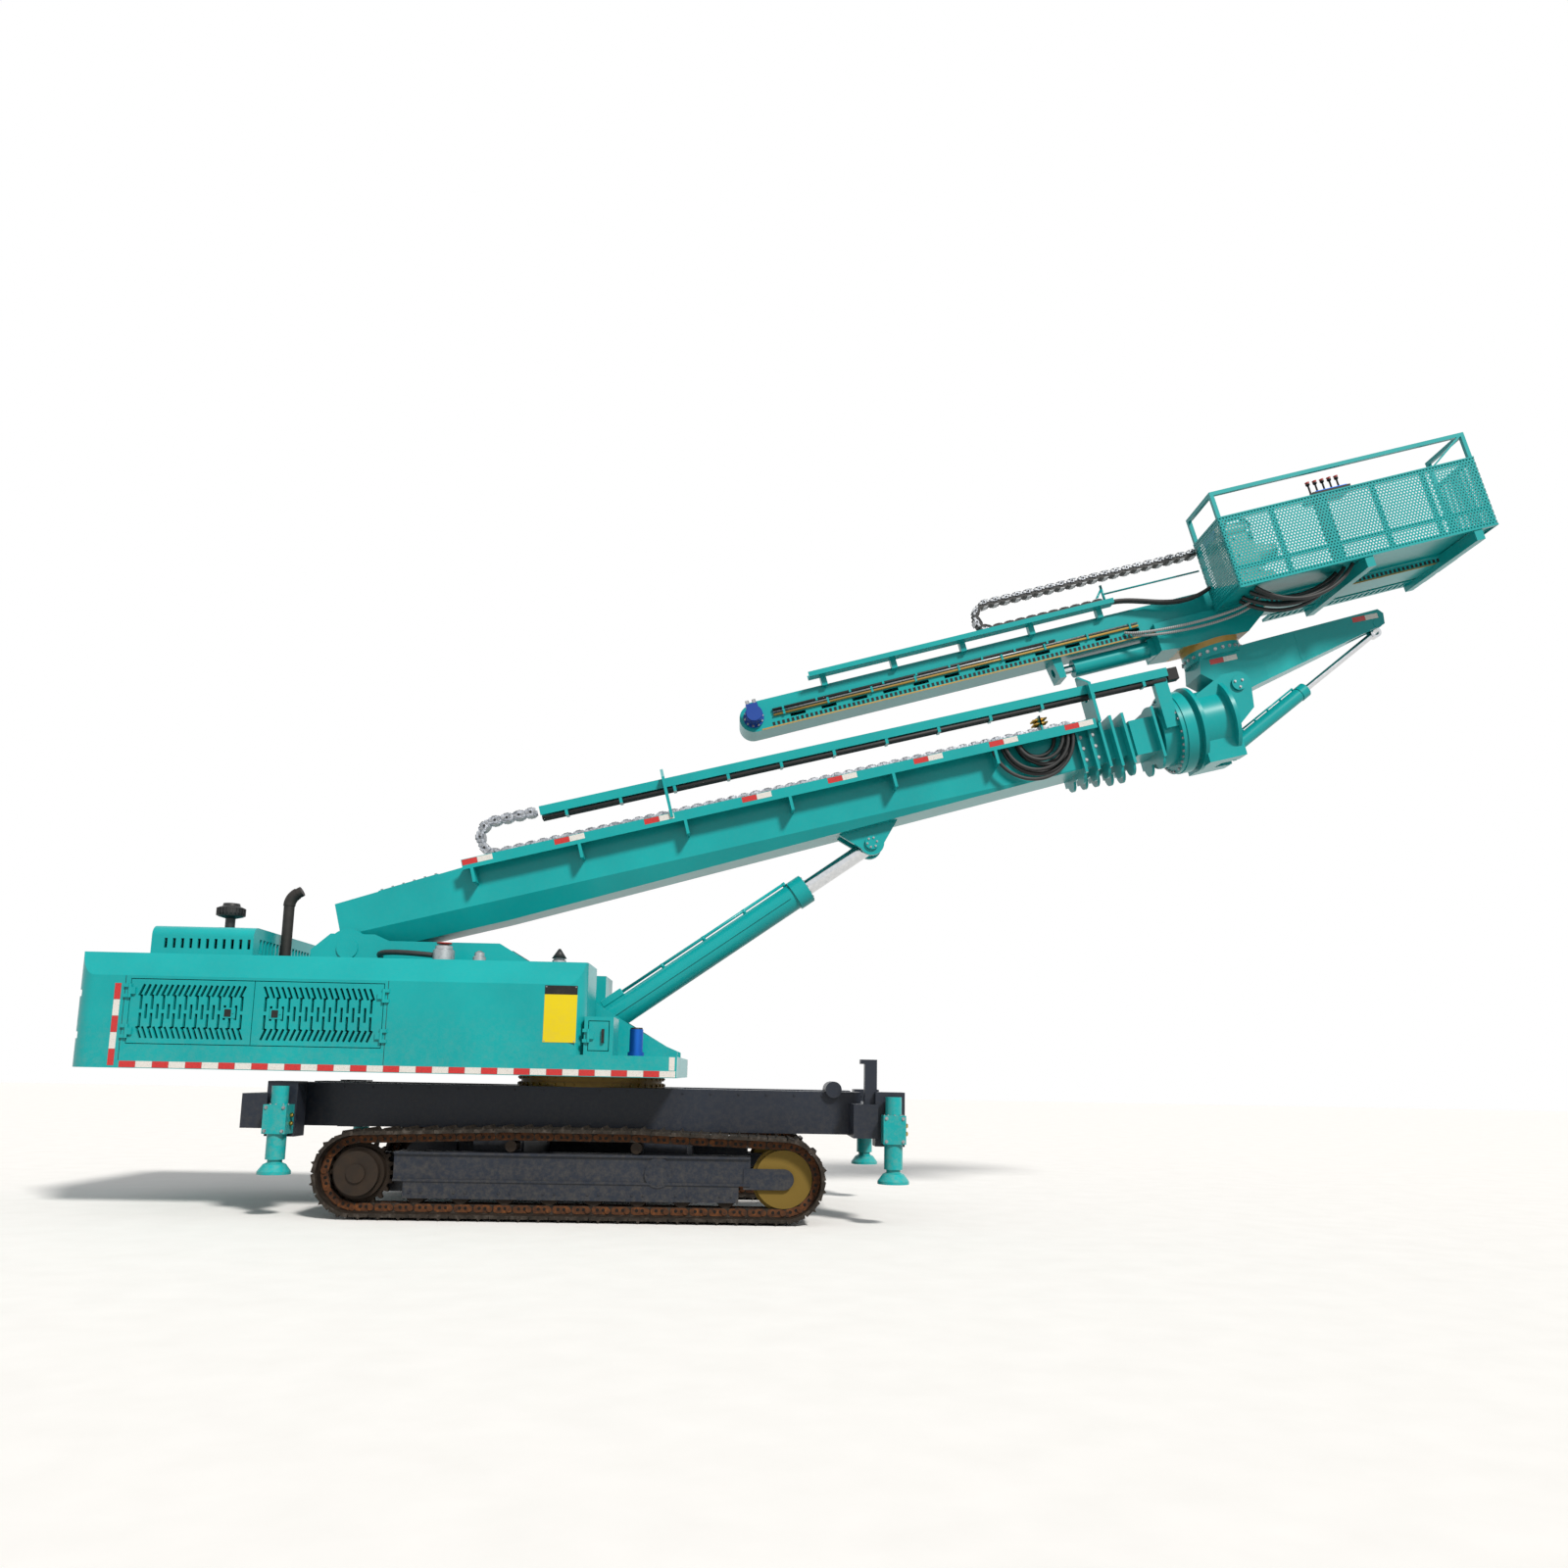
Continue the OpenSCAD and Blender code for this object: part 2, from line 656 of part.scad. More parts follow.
module tank_fittings() {
    // Each fitting on the roof: distance behind the slew axis, radius, height, radius of its cap
    caps = [[1330, 100, 110, 80], [1000, 60, 55, 45], [260, 65, 40, 50]];
    filter_x = 480;
    filter_y = -780;
    filter_r = 62;
    filter_h = 250;
    color("silver") {
        for (c = caps)
            translate([-c[0], -house_y + 420, roof_z]) rotate_extrude()
                polygon([[0, 0], [c[1] + 15, 0], [c[1] + 15, 12], [c[1], 12], [c[1], c[2]],
                    [c[3], c[2] + 12], [c[3], c[2] + 40], [c[3] / 3, c[2] + 60], [0, c[2] + 60]]);
        translate([filter_x, filter_y, deck_top]) {
            cylinder(r = filter_r, h = filter_h);
            cylinder(r = filter_r + 14, h = 40);
        }
    }
}

tool_box_y = [-house_y, -house_y + 480];
tool_box_z = [deck_top, 1780];
tool_door_x = [tank_front_x + 35, box_front_x - 35];
tool_door_z = [tool_box_z[0] + 35, tool_box_z[1] - 35];
tool_hinge_x = tool_door_x[0] + door_gap / 2;
tool_hinge_z = [(tool_door_z[0] + tool_door_z[1]) / 2];

module tool_box() {
    t = 25;
    color("turquoise") {
        difference() {
            block([tank_front_x, box_front_x], tool_box_y, tool_box_z);
            block([tank_front_x + t, box_front_x - t], [tool_box_y[0] + t, tool_box_y[1] - t],
                [tool_box_z[0] + t, tool_box_z[1] - t]);
            block(tool_door_x, [tool_box_y[0] - 1, tool_box_y[0] + t + 1], tool_door_z);
        }
        hinge_frame(tool_hinge_x, hinge_y, 1, tool_hinge_z);
    }
}

module tool_box_door() {
    t = 24;
    handle_l = 110;
    color("turquoise") {
        hinge_door(tool_hinge_x, hinge_y, 1, tool_hinge_z);
        block([tool_door_x[0] + door_gap, tool_door_x[1] - door_gap], [tool_box_y[0], tool_box_y[0] + t],
            [tool_door_z[0] + door_gap, tool_door_z[1] - door_gap]);
        block([tool_door_x[1] - 70, tool_door_x[1] - 40], [tool_box_y[0] - 22, tool_box_y[0] + 2],
            [(tool_door_z[0] + tool_door_z[1] - handle_l) / 2, (tool_door_z[0] + tool_door_z[1] + handle_l) / 2]);
    }
}

// Places in the boom's frame, and a cylinder's frame along the line between two points of X and Z
module on_boom() {
    translate([-boom_foot_x, 0, boom_foot_z]) rotate([0, -boom_angle, 0]) children();
}

module on_front() {
    on_boom() translate([base_l, 0, 0]) children();
}

function span(a, b) = norm(b - a);
module on_line_xz(a, b) {
    translate([a[0], 0, a[1]]) rotate([0, -atan2(b[1] - a[1], b[0] - a[0]), 0]) children();
}

// Side outline of the base section, set in by a plate
bottom_low = -50;
bottom_front = 150;
bend_z = 150;
module base_side(inset, x) {
    polygon([[x[0], base_top - inset], [x[1], base_top - inset], [x[1], bottom_front + inset],
        [1500, bottom_low + inset], [x[0], bottom_low + inset]]);
}

// Cross-section of the base section, set in by a plate
module base_section(inset) {
    y = base_w / 2 - inset;
    low_y = 190 - inset;
    polygon([[-y, base_top + 1], [y, base_top + 1], [y, bend_z], [low_y, bottom_low - 1],
        [-low_y, bottom_low - 1], [-y, bend_z]]);
}

collar_x = [base_l - 190, base_l];
tray_y = [-470, -210];
tray_z = [base_top + 4, base_top + 40];
guide_x = [3300, base_l - 40];
rail_z = [870, 960];
rail_y = [-400, -280];

module boom_base() {
    boss_w = tower_in_w / 2 - run_gap;
    cavity_x = 420;
    pad_gap = 1;
    tray_x = [1230, base_l - 60];
    plate_y = [rail_y[0] - 90, rail_y[1] + 130];
    plate_top = rail_z[1] + 150;
    ring_x = [base_l - 270, base_l - 140, base_l - 10];
    ring_t = 28;
    eye_in = 100;
    eye_t = 45;
    pin_head_r = 70;
    color("turquoise") on_boom() difference() {
        union() {
            intersection() {
                side_plate([-base_w / 2, base_w / 2]) base_side(0, [-70, base_l]);
                along_x([-70, base_l]) base_section(0);
                side_plate([-base_w, base_w]) polygon([[-70, 40], [60, -200], [base_l, -200], [base_l, 700],
                    [1200, base_top], [-70, 470]]);
            }
            pin_y(150, [-boss_w, boss_w]);
            // Chain tray on brackets along the right-hand edge
            block(tray_x, [tray_y[0], tray_y[0] + 12], [base_top - 60, tray_z[1]]);
            block(tray_x, [tray_y[0], -base_w / 2 + 150], [base_top - 14, base_top + 4]);
            for (x = [1300:1060:base_l - 150])
                side_plate([tray_y[0], -base_w / 2 + 5]) translate([x, 0])
                    polygon([[0, base_top], [0, base_top - 200], [30, base_top - 200], [30, base_top]]);
            // Guide plates for the chain rail, their outer top corners cut clear of the rolling mast
            for (x = guide_x)
                along_x([x, x + 30])
                    polygon([[plate_y[0], base_top - 5], [plate_y[0], rail_z[1]], [rail_y[1] + 80, plate_top],
                        [plate_y[1], plate_top], [plate_y[1], base_top - 5]]);
            // Collar rings and their lobes at the front end
            for (x = ring_x)
                along_x([x, x + ring_t]) {
                    translate([0, (base_top + bottom_front) / 2]) square([base_w + 160, base_top - bottom_front + 130],
                        center = true);
                    for (e = [-1, 1])
                        translate([e * 190, bottom_front - 30]) circle(115);
                }
            // Clevis for the luffing cylinder, with its pin ends on the outer faces
            for (e = [-1, 1]) {
                y = e > 0 ? [eye_in, eye_in + eye_t] : [-eye_in - eye_t, -eye_in];
                side_plate(y) {
                    polygon([[luff_eye[0] - 422, bottom_front + 20], [luff_eye[0] + 395, bottom_front + 20],
                        [luff_eye[0] + 110, luff_eye[1] - 40], [luff_eye[0] - 110, luff_eye[1] - 40]]);
                    translate(luff_eye) circle(125);
                }
                pin_y(pin_head_r, e > 0 ? [eye_in + eye_t - 2, eye_in + eye_t + 25]
                    : [-eye_in - eye_t - 25, -eye_in - eye_t + 2], luff_eye[0], luff_eye[1]);
            }
        }
        pin_y(foot_pin_r + run_gap, [-base_w, base_w]);
        intersection() {
            side_plate([-base_w / 2, base_w / 2]) base_side(boom_t, [cavity_x, collar_x[0]]);
            along_x([cavity_x, collar_x[0]]) base_section(boom_t);
        }
        block([cavity_x, base_l + 50], [-inner_w / 2 - pad_gap, inner_w / 2 + pad_gap],
            [inner_z[0] - pad_gap, inner_z[1] + pad_gap]);
        for (x = guide_x)
            block([x - 5, x + 35], [rail_y[0] - pass_gap, rail_y[1] + pass_gap],
                [rail_z[0] - 60 - pass_gap, rail_z[1] + pass_gap]);
        block([guide_x[0] - 5, guide_x[0] + 35], [rail_y[0] - 50, rail_y[1] + 50], [tray_z[0], rail_z[0] - 60]);
    }
}

// Outline of a drag chain: a lower run, a half turn at its rear end and an upper run.
// A link has a waist at each end, so the band narrows once every pitch.
chain_pitch = 120;
chain_waist = 14;
function chain_at(s, rear_x, low_l, r, z) =
    s < low_l ? [rear_x + low_l - s, z - r, 180]
    : s < low_l + PI * r
        ? let (a = 270 - (s - low_l) / r * 180 / PI) [rear_x + r * cos(a), z + r * sin(a), a - 90]
    : [rear_x + s - low_l - PI * r, z + r, 0];
module chain_band(rear_x, low_l, up_l, r, z, h) {
    count = round((low_l + up_l + PI * r) / chain_pitch);
    pitch = (low_l + up_l + PI * r) / count;
    form = [[0, h / 2 - chain_waist], [0.15, h / 2], [0.85, h / 2]];
    function rim(i, f, side) =
        let (p = chain_at((i + f[0]) * pitch, rear_x, low_l, r, z))
        [p[0] - side * f[1] * sin(p[2]), p[1] + side * f[1] * cos(p[2])];
    outer = [for (i = [0:count - 1], f = form) rim(i, f, 1)];
    inner = [for (i = [count - 1:-1:0], k = [2:-1:0]) rim(i, form[k], -1)];
    polygon(concat(outer, inner));
}

module boom_chain() {
    h = 80;
    r = (rail_z[1] - tray_z[0] - h) / 2;
    rear_x = 1400 + r + h / 2;
    low_l = base_l - 300 - rear_x;
    up_l = 430;
    color("gray") on_boom()
        side_plate([rail_y[0], rail_y[1] - 20])
            chain_band(rear_x, low_l, up_l, r, tray_z[0] + h / 2 + r, h);
}

module boom_hoses() {
    hose_r = 19;
    // Each hose: place against the base section's end, distance from the middle plane, radius of its loop
    loops = [[-620, 335, 260], [-590, 380, 290], [-650, 425, 235]];
    color("black") on_front() for (h = loops)
        translate([h[0], -h[1], base_top - 14 - seat_gap]) rotate([90, 0, 0]) rotate([0, 0, 180])
            rotate_extrude(angle = 180) translate([h[2], 0]) circle(hose_r);
}

function boom_point(p) = [-boom_foot_x + p[0] * cos(boom_angle) - p[1] * sin(boom_angle),
    boom_foot_z + p[0] * sin(boom_angle) + p[1] * cos(boom_angle)];
luff_l = span(luff_foot, boom_point(luff_eye));
luff_rod_l = 2960;
luff_foot_r = 92;

module luff_barrel() {
    color("turquoise") on_line_xz(luff_foot, boom_point(luff_eye)) difference() {
        union() {
            pin_y(luff_foot_r, [-150, 150]);
            pin_x(luff_r, [60, luff_barrel_l]);
            pin_x(luff_r + 18, [luff_barrel_l - 150, luff_barrel_l]);
            for (y = [-luff_r - 14, luff_r - 40])
                block([400, luff_barrel_l - 200], [y, y + 54], [-12, 12]);
        }
        pin_y(55 + run_gap, [-200, 200]);
        pin_x(luff_rod_r + run_gap, [420, luff_barrel_l + 1]);
    }
}

module luff_rod() {
    color("silver") on_line_xz(luff_foot, boom_point(luff_eye)) difference() {
        union() {
            pin_x(luff_rod_r, [luff_l - luff_rod_l, luff_l]);
            pin_y(luff_eye_r, [-92, 92], luff_l);
        }
        pin_y(60, [-100, 100], luff_l);
    }
}

module boom_inner() {
    t = 20;
    flange_x = [inner_x[1] - 5, head_x[0] - 40];
    ring_x = [130, 260, 580];
    ring_t = 28;
    color("turquoise") on_front() {
        difference() {
            union() {
                block(inner_x, [-inner_w / 2, inner_w / 2], inner_z);
                for (x = ring_x)
                    along_x([x, x + ring_t]) {
                        translate([0, head_z]) square([base_w + 60, inner_h + 230], center = true);
                        for (e = [-1, 1])
                            translate([e * 170, head_z - 250]) circle(115);
                    }
                block([350, 580], [-inner_w / 2 - 30, inner_w / 2 + 30], [inner_z[0] - 30, inner_z[1] + 30]);
            }
            block([inner_x[0] - 1, inner_x[1] - 40], [-inner_w / 2 + t, inner_w / 2 - t],
                [inner_z[0] + t, inner_z[1] - t]);
        }
        pin_x(330, [650, flange_x[1]], 0, head_z);
        pin_x(head_r - 30, flange_x, 0, head_z);
        block([670, 810], [rail_y[0] + 20, rail_y[1] - 20], [head_z, rail_z[0]]);
    }
}

module boom_rail() {
    color("turquoise") on_boom() difference() {
        block([2060, base_l + 830], rail_y, rail_z);
        block([2050, base_l + 810], [rail_y[0] + 12, rail_y[1] - 12], [rail_z[0] - 1, rail_z[1] - 12]);
    }
}

arm_pin = [arm_ahead, arm_z];
lug_in = arm_w / 2 + 4;

module rotary_head() {
    lug_t = 55;
    foot_in = 90;
    foot_t = 40;
    foot_pin = 40;
    color("turquoise") on_front() {
        difference() {
            union() {
                pin_x(head_r - 20, [head_x[0] - 40 + run_gap, head_x[0] + 70], 0, head_z);
                pin_x(370, [head_x[0] + 60, head_x[1]], 0, head_z);
                for (x = [head_x[0] + 130, head_x[1] - 60])
                    pin_x(head_r, [x, x + 40], 0, head_z);
                block([head_x[0] + 150, head_x[1] + 10], [-300, 300], [-90, head_z]);
                for (e = [-1, 1])
                    side_plate(e > 0 ? [lug_in, lug_in + lug_t] : [-lug_in - lug_t, -lug_in]) {
                        polygon([[1080, 300], [1110, 640], [1430, 790], [arm_ahead, 790], [1710, 620], [1670, 380],
                            [1430, 200]]);
                        translate(arm_pin) circle(130);
                    }
                for (e = [-1, 1])
                    side_plate(e > 0 ? [foot_in, foot_in + foot_t] : [-foot_in - foot_t, -foot_in]) {
                        polygon([[1050, -90], [1415, -60], [1500, 35], [1430, 200], [1050, 200]]);
                        translate(tilt_foot) circle(90);
                    }
            }
            // Room for the tilt cylinder's foot and for the arm's root
            block([head_x[1] - 190, head_x[1] + 60], [-foot_in, foot_in], [-200, tilt_foot[1] + 130]);
            side_plate([-lug_in, lug_in]) {
                translate(arm_pin) circle(250);
                polygon([[1190, 1300], [1190, 830], [1450, 600], [1750, 600], [1750, 1300]]);
            }
        }
        pin_y(arm_pin_r, [-lug_in - lug_t - 15, lug_in + lug_t + 15], arm_ahead, arm_z);
        pin_y(foot_pin, [-foot_in - foot_t - 15, foot_in + foot_t + 15], tilt_foot[0], tilt_foot[1]);
    }
}

// Mast frame: X along the mast from its rear end, Z up from its underside
module on_mast() {
    on_front() translate([-mast_back, 0, mast_rear_z]) rotate([0, -mast_tilt, 0]) children();
}

turret_z = -290;
turret_r = 300;

module arm() {
    tip_w = 200;
    slot_y = 50;
    color("turquoise") {
        on_front() difference() {
            intersection() {
                side_plate([-arm_w / 2, arm_w / 2]) {
                    polygon([[1250, 860], [1290, 1040], [3370, 1155], [3420, 1100], [3400, 985], [1810, 620],
                        [1580, 560], [1430, 700]]);
                    translate(arm_pin) circle(120);
                }
                linear_extrude(2000)
                    polygon([[1150, -arm_w / 2], [1950, -arm_w / 2], [3500, -tip_w / 2], [3500, tip_w / 2],
                        [1950, arm_w / 2], [1150, arm_w / 2]]);
            }
            pin_y(arm_pin_r + run_gap, [-arm_w, arm_w], arm_ahead, arm_z);
            block([3000, 3550], [-slot_y, slot_y], [700, 1075]);
            side_plate([-arm_w / 2 + 30, arm_w / 2 - 30])
                polygon([[1810, 1030], [2900, 1090], [2900, 915], [1810, 660]]);
        }
        on_front() for (e = [-1, 1])
            pin_y(50, e > 0 ? [tip_w / 2 - 5, tip_w / 2 + 20] : [-tip_w / 2 - 20, -tip_w / 2 + 5],
                tilt_eye[0], tilt_eye[1] + 75);
        on_mast() translate([cradle_x, 0, 0]) cylinder_between(turret_r, turret_z - 110, turret_z);
    }
}

tilt_l = span(tilt_foot, tilt_eye);

module tilt_barrel() {
    color("turquoise") on_front() on_line_xz(tilt_foot, tilt_eye) difference() {
        union() {
            pin_y(68, [-82, 82]);
            pin_x(tilt_r, [30, tilt_barrel_l]);
            pin_x(tilt_r + 6, [tilt_barrel_l - 90, tilt_barrel_l]);
        }
        pin_y(40 + run_gap, [-100, 100]);
        pin_x(tilt_rod_r + run_gap, [200, tilt_barrel_l + 1]);
    }
}

module tilt_rod() {
    rod_l = 1090;
    color("silver") on_front() on_line_xz(tilt_foot, tilt_eye) difference() {
        union() {
            pin_x(tilt_rod_r, [tilt_l - rod_l, tilt_l]);
            pin_y(tilt_eye_r, [-42, 42], tilt_l);
        }
        pin_y(32, [-50, 50], tilt_l);
    }
}

cradle_l = 1200;
cradle_w = 460;
claw_z = 90;
slide_r = 95;
slide_z = -112;
slide_spare = 290;
slide_x = [cradle_x - cradle_l / 2 - slide_travel - slide_spare, cradle_x - cradle_l / 2];
bracket_x = [3330, 3430];

module cradle() {
    t = 30;
    claw_t = 45;
    claw_y = mast_w / 2 + pass_gap;
    color("turquoise") on_mast() translate([cradle_x, 0, 0]) {
        cylinder_between(turret_r, turret_z + run_gap, -225);
        difference() {
            side_plate([-cradle_w / 2, cradle_w / 2])
                polygon([[-cradle_l / 2, -run_gap], [cradle_l / 2, -run_gap], [cradle_l / 2, -60], [360, -230],
                    [-360, -230], [-cradle_l / 2, -210]]);
            block([-cradle_l / 2 + 60, cradle_l / 2 - 60], [-cradle_w / 2 + t, cradle_w / 2 - t], [-195, -t]);
        }
        for (e = [-1, 1])
            block([-cradle_l / 2, cradle_l / 2], e > 0 ? [claw_y, claw_y + claw_t] : [-claw_y - claw_t, -claw_y],
                [-60, claw_z]);
    }
}

module slide_barrel() {
    color("turquoise") on_mast() difference() {
        union() {
            pin_x(slide_r, slide_x, 0, slide_z);
            block([slide_x[1] - 60, slide_x[1]], [-slide_r, slide_r], [slide_z - slide_r, slide_z + slide_r]);
        }
        pin_x(45 + run_gap, [slide_x[0] - 1, slide_x[1] - 30], 0, slide_z);
    }
}

module slide_rod() {
    color("silver") on_mast() pin_x(45, [bracket_x[1], slide_x[1] - 40], 0, slide_z);
}

rail_top = mast_h + 30;

module mast_beam() {
    t = 16;
    nose = mast_h / 2;
    slots = 21;
    slot_pitch = (mast_l - 970) / slots;
    color("turquoise") on_mast() difference() {
        union() {
            side_plate([-mast_w / 2, mast_w / 2]) {
                translate([nose, nose]) circle(nose);
                translate([nose, 0]) square([mast_l - nose, mast_h]);
            }
            both_sides() block([nose, mast_l], [mast_w / 2 - 60, mast_w / 2 - 20], [mast_h - 5, rail_top]);
            side_plate([-130, 130])
                polygon([[bracket_x[0], 0], [bracket_x[0] + 30, -210], [bracket_x[1], -210], [bracket_x[1], 0]]);
        }
        block([2 * nose, mast_l - t], [-mast_w / 2 + t, mast_w / 2 - t], [t, mast_h - t]);
        for (i = [0:slots - 1])
            block([520 + i * slot_pitch, 680 + i * slot_pitch], [-mast_w, mast_w], [70, 105]);
        pin_x(46, [bracket_x[0] - 1, bracket_x[0] + 60], 0, slide_z);
    }
}

tray2_x = [790, 4080];
tray2_y = [-330, -190];
tray2_z = [390, 440];

module mast_tray() {
    posts = 5;
    color("turquoise") on_mast() {
        difference() {
            block(tray2_x, tray2_y, tray2_z);
            block([tray2_x[0] - 1, tray2_x[1] + 1], [tray2_y[0] + 8, tray2_y[1] - 8], [tray2_z[0] + 8, tray2_z[1] + 1]);
        }
        for (i = [0:posts - 1]) {
            x = tray2_x[0] + 120 + i * (tray2_x[1] - tray2_x[0] - 300) / (posts - 1);
            block([x, x + 60], [tray2_y[1] - 50, -mast_w / 2 + 15], [mast_h, tray2_z[0] + 4]);
        }
    }
}

module mast_chain() {
    h = 70;
    r = 140;
    color("gray") on_mast()
        side_plate([tray2_y[0] + 20, tray2_y[1] - 20])
            chain_band(2600 + r + h / 2, 1200, basket_x - 2600 - r - h / 2 - 13, r, tray2_z[0] + 8 + h / 2 + r, h);
}

module feed_motor() {
    color("navy") on_mast() translate([mast_h / 2, 0, mast_h / 2]) {
        pin_y(105, [-mast_w / 2 - 30, -mast_w / 2]);
        pin_y(78, [-mast_w / 2 - 190, -mast_w / 2 - 20]);
        block([-60, 60], [-mast_w / 2 - 170, -mast_w / 2 - 90], [40, 110]);
    }
}

// Basket levels and edges in the mast's frame
floor_z = [50, 90];
panel_top = floor_z[0] + panel_h;
rail_top_z = panel_top + rail_h;
near_y = -900;
inner_y = -260;
far_y = [250, 450];
basket_end = basket_x + basket_l;
panel_t = 12;

// A square tube along one of the axes, from a corner
module tube_x(x, y, z) block(x, [y, y + tube_w], [z, z + tube_w]);
module tube_z(x, y, z) block([x, x + tube_w], [y, y + tube_w], z);
module tube_y(x, y, z) block([x, x + tube_w], y, [z, z + tube_w]);

module basket_frame() {
    bays = 5;
    cross_x = [6450, basket_end - 260];
    cross_h = 60;
    strut_x = [basket_x + 60, basket_x + 900];
    comb_pitch = 70;
    color("turquoise") on_mast() {
        // Floor with its edge tubes
        block([basket_x, basket_end], [near_y, inner_y], [floor_z[0] + 20, floor_z[1]]);
        for (y = [near_y, inner_y - tube_w])
            tube_x([basket_x, basket_end], y, floor_z[0]);
        // Posts and the two rails of the near side
        for (i = [0:bays]) {
            x = basket_x + i * (basket_l - tube_w) / bays;
            tube_z(x, near_y, [floor_z[0], panel_top]);
        }
        for (z = [panel_top - tube_w, floor_z[0] + panel_h / 4])
            tube_x([basket_x, basket_end], near_y, z);
        // End frames
        for (x = [basket_x, basket_end - tube_w]) {
            tube_z(x, inner_y - tube_w, [floor_z[0], rail_top_z]);
            tube_z(x, near_y, [panel_top - tube_w, rail_top_z]);
            for (z = [panel_top - tube_w, rail_top_z - tube_w])
                tube_y(x, [near_y, inner_y], z);
        }
        tube_x([basket_x, basket_end], near_y, rail_top_z - tube_w);
        side_plate([near_y, near_y + tube_w / 2]) polygon([[basket_end - tube_w, rail_top_z - 10],
            [basket_end - tube_w, rail_top_z - 35], [basket_end - 440, panel_top - 20],
            [basket_end - 465, panel_top - 20]]);
        // Struts to the mast's side and cross-beams under the mast
        for (x = strut_x)
            block([x, x + 80], [inner_y - 5, -mast_w / 2], [claw_z + 15, claw_z + 95]);
        for (x = strut_x)
            block([x, x + 80], [inner_y - tube_w, inner_y - 5 + 10], [floor_z[0], claw_z + 95]);
        for (x = cross_x) {
            block([x, x + 90], [near_y, far_y[1]], [-cross_h, 0]);
            block([x, x + 90], [near_y, inner_y], [-10, floor_z[0] + 10]);
        }
        // Comb-shaped grating beyond the mast
        difference() {
            block([cross_x[0] - 500, basket_end], far_y, [0, 30]);
            for (x = [cross_x[0] - 460:comb_pitch:basket_end - 80])
                block([x, x + 40], [far_y[0] - 1, far_y[1] - 45], [-1, 31]);
        }
        block([cross_x[0] - 500, basket_end], [far_y[0], far_y[0] + 30], [0, 30]);
    }
}

module basket_panels() {
    color("turquoise") on_mast() {
        block([basket_x, basket_end], [near_y - panel_t, near_y], [floor_z[0], panel_top]);
        block([basket_x - panel_t, basket_x], [near_y - panel_t, inner_y], [floor_z[0], panel_top]);
        block([basket_end, basket_end + panel_t], [near_y - panel_t, inner_y], [floor_z[0], panel_top]);
    }
}

module basket_hoses() {
    hose_r = 20;
    // Each hose: rear end and front end along the mast, distance from the middle plane, sag
    hoses = [[5350, 6380, 470, 150], [5300, 6380, 530, 190], [5380, 6300, 590, 130], [5330, 6350, 650, 170]];
    color("black") on_mast() for (h = hoses) {
        half = (h[1] - h[0]) / 2;
        r = (half * half + h[3] * h[3]) / (2 * h[3]);
        a = asin(half / r);
        translate([h[0] + half, -h[2], floor_z[0] + 20 - seat_gap - hose_r * cos(a) - h[3] + r]) rotate([90, 0, 0])
            rotate([0, 0, 270 - a]) rotate_extrude(angle = 2 * a) translate([r, 0]) circle(hose_r);
    }
}

module control_stand() {
    levers = 5;
    color("black") on_mast() translate([6350, inner_y - 330, floor_z[1]]) {
        block([60, 160], [60, 160], [0, 800]);
        block([0, 420], [0, 240], [800, 860]);
        for (i = [0:levers - 1])
            translate([50 + i * 80, 120, 855]) {
                cylinder(r = 10, h = 130);
                translate([0, 0, 140]) sphere(r = 22);
            }
    }
}

spindle_z = 620;
spindle_r = 45;
drill_x = [5430, 5830];
drill_w = 300;

module drill_head() {
    color("lightgray") on_mast() {
        difference() {
            union() {
                block([drill_x[0] - 100, drill_x[1] + 100], [-drill_w / 2, drill_w / 2],
                    [rail_top + run_gap, rail_top + 60]);
                block(drill_x, [-drill_w / 2, drill_w / 2], [rail_top + 55, 860]);
                pin_x(120, [drill_x[1] - 5, drill_x[1] + 120], 0, spindle_z);
                pin_x(80, [drill_x[1] + 100, drill_x[1] + 260], 0, spindle_z);
                for (e = [-1, 1])
                    pin_x(72, [drill_x[0] + 20, drill_x[1] - 40], e * 85, 920);
                block([drill_x[0] + 20, drill_x[1] - 40], [-90, 90], [850, 1000]);
            }
            pin_x(spindle_r, [drill_x[1] + 60, drill_x[1] + 300], 0, spindle_z);
        }
    }
}

chassis_frame();
slew_ring();
jack_bodies();
jack_leg(1, -1);  // jack_leg_front_right
jack_leg(1, 1);  // jack_leg_front_left
jack_leg(-1, -1);  // jack_leg_rear_right
jack_leg(-1, 1);  // jack_leg_rear_left
track(-1);  // track_right
track(1);  // track_left
track_frame(-1);  // track_frame_right
track_frame(1);  // track_frame_left
track_wheels(-1);  // track_wheels_right
track_wheels(1);  // track_wheels_left
deck_frame();
tower();
counterweight();
engine_housing();
engine_block();
engine_hood();
pre_cleaner();
exhaust();
tank();  // tank_right
mirror([0, 1, 0]) tank();  // tank_left
tank_fittings();
tool_box();
tool_box_door();
door(rear_door_x, -22, rear_hinge_x);  // door_rear_right
door(front_door_x, 22, front_hinge_x);  // door_front_right
mirror([0, 1, 0]) door(rear_door_x, -22, rear_hinge_x);  // door_rear_left
mirror([0, 1, 0]) door(front_door_x, 22, front_hinge_x);  // door_front_left
boom_base();
boom_chain();
boom_hoses();
luff_barrel();
luff_rod();
boom_inner();
boom_rail();
rotary_head();
arm();
tilt_barrel();
tilt_rod();
cradle();
slide_barrel();
slide_rod();
mast_beam();
mast_tray();
mast_chain();
feed_motor();
basket_frame();
basket_panels();
basket_hoses();
control_stand();
drill_head();
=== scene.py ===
import math

import bmesh
import bpy
from mathutils import Matrix, Vector


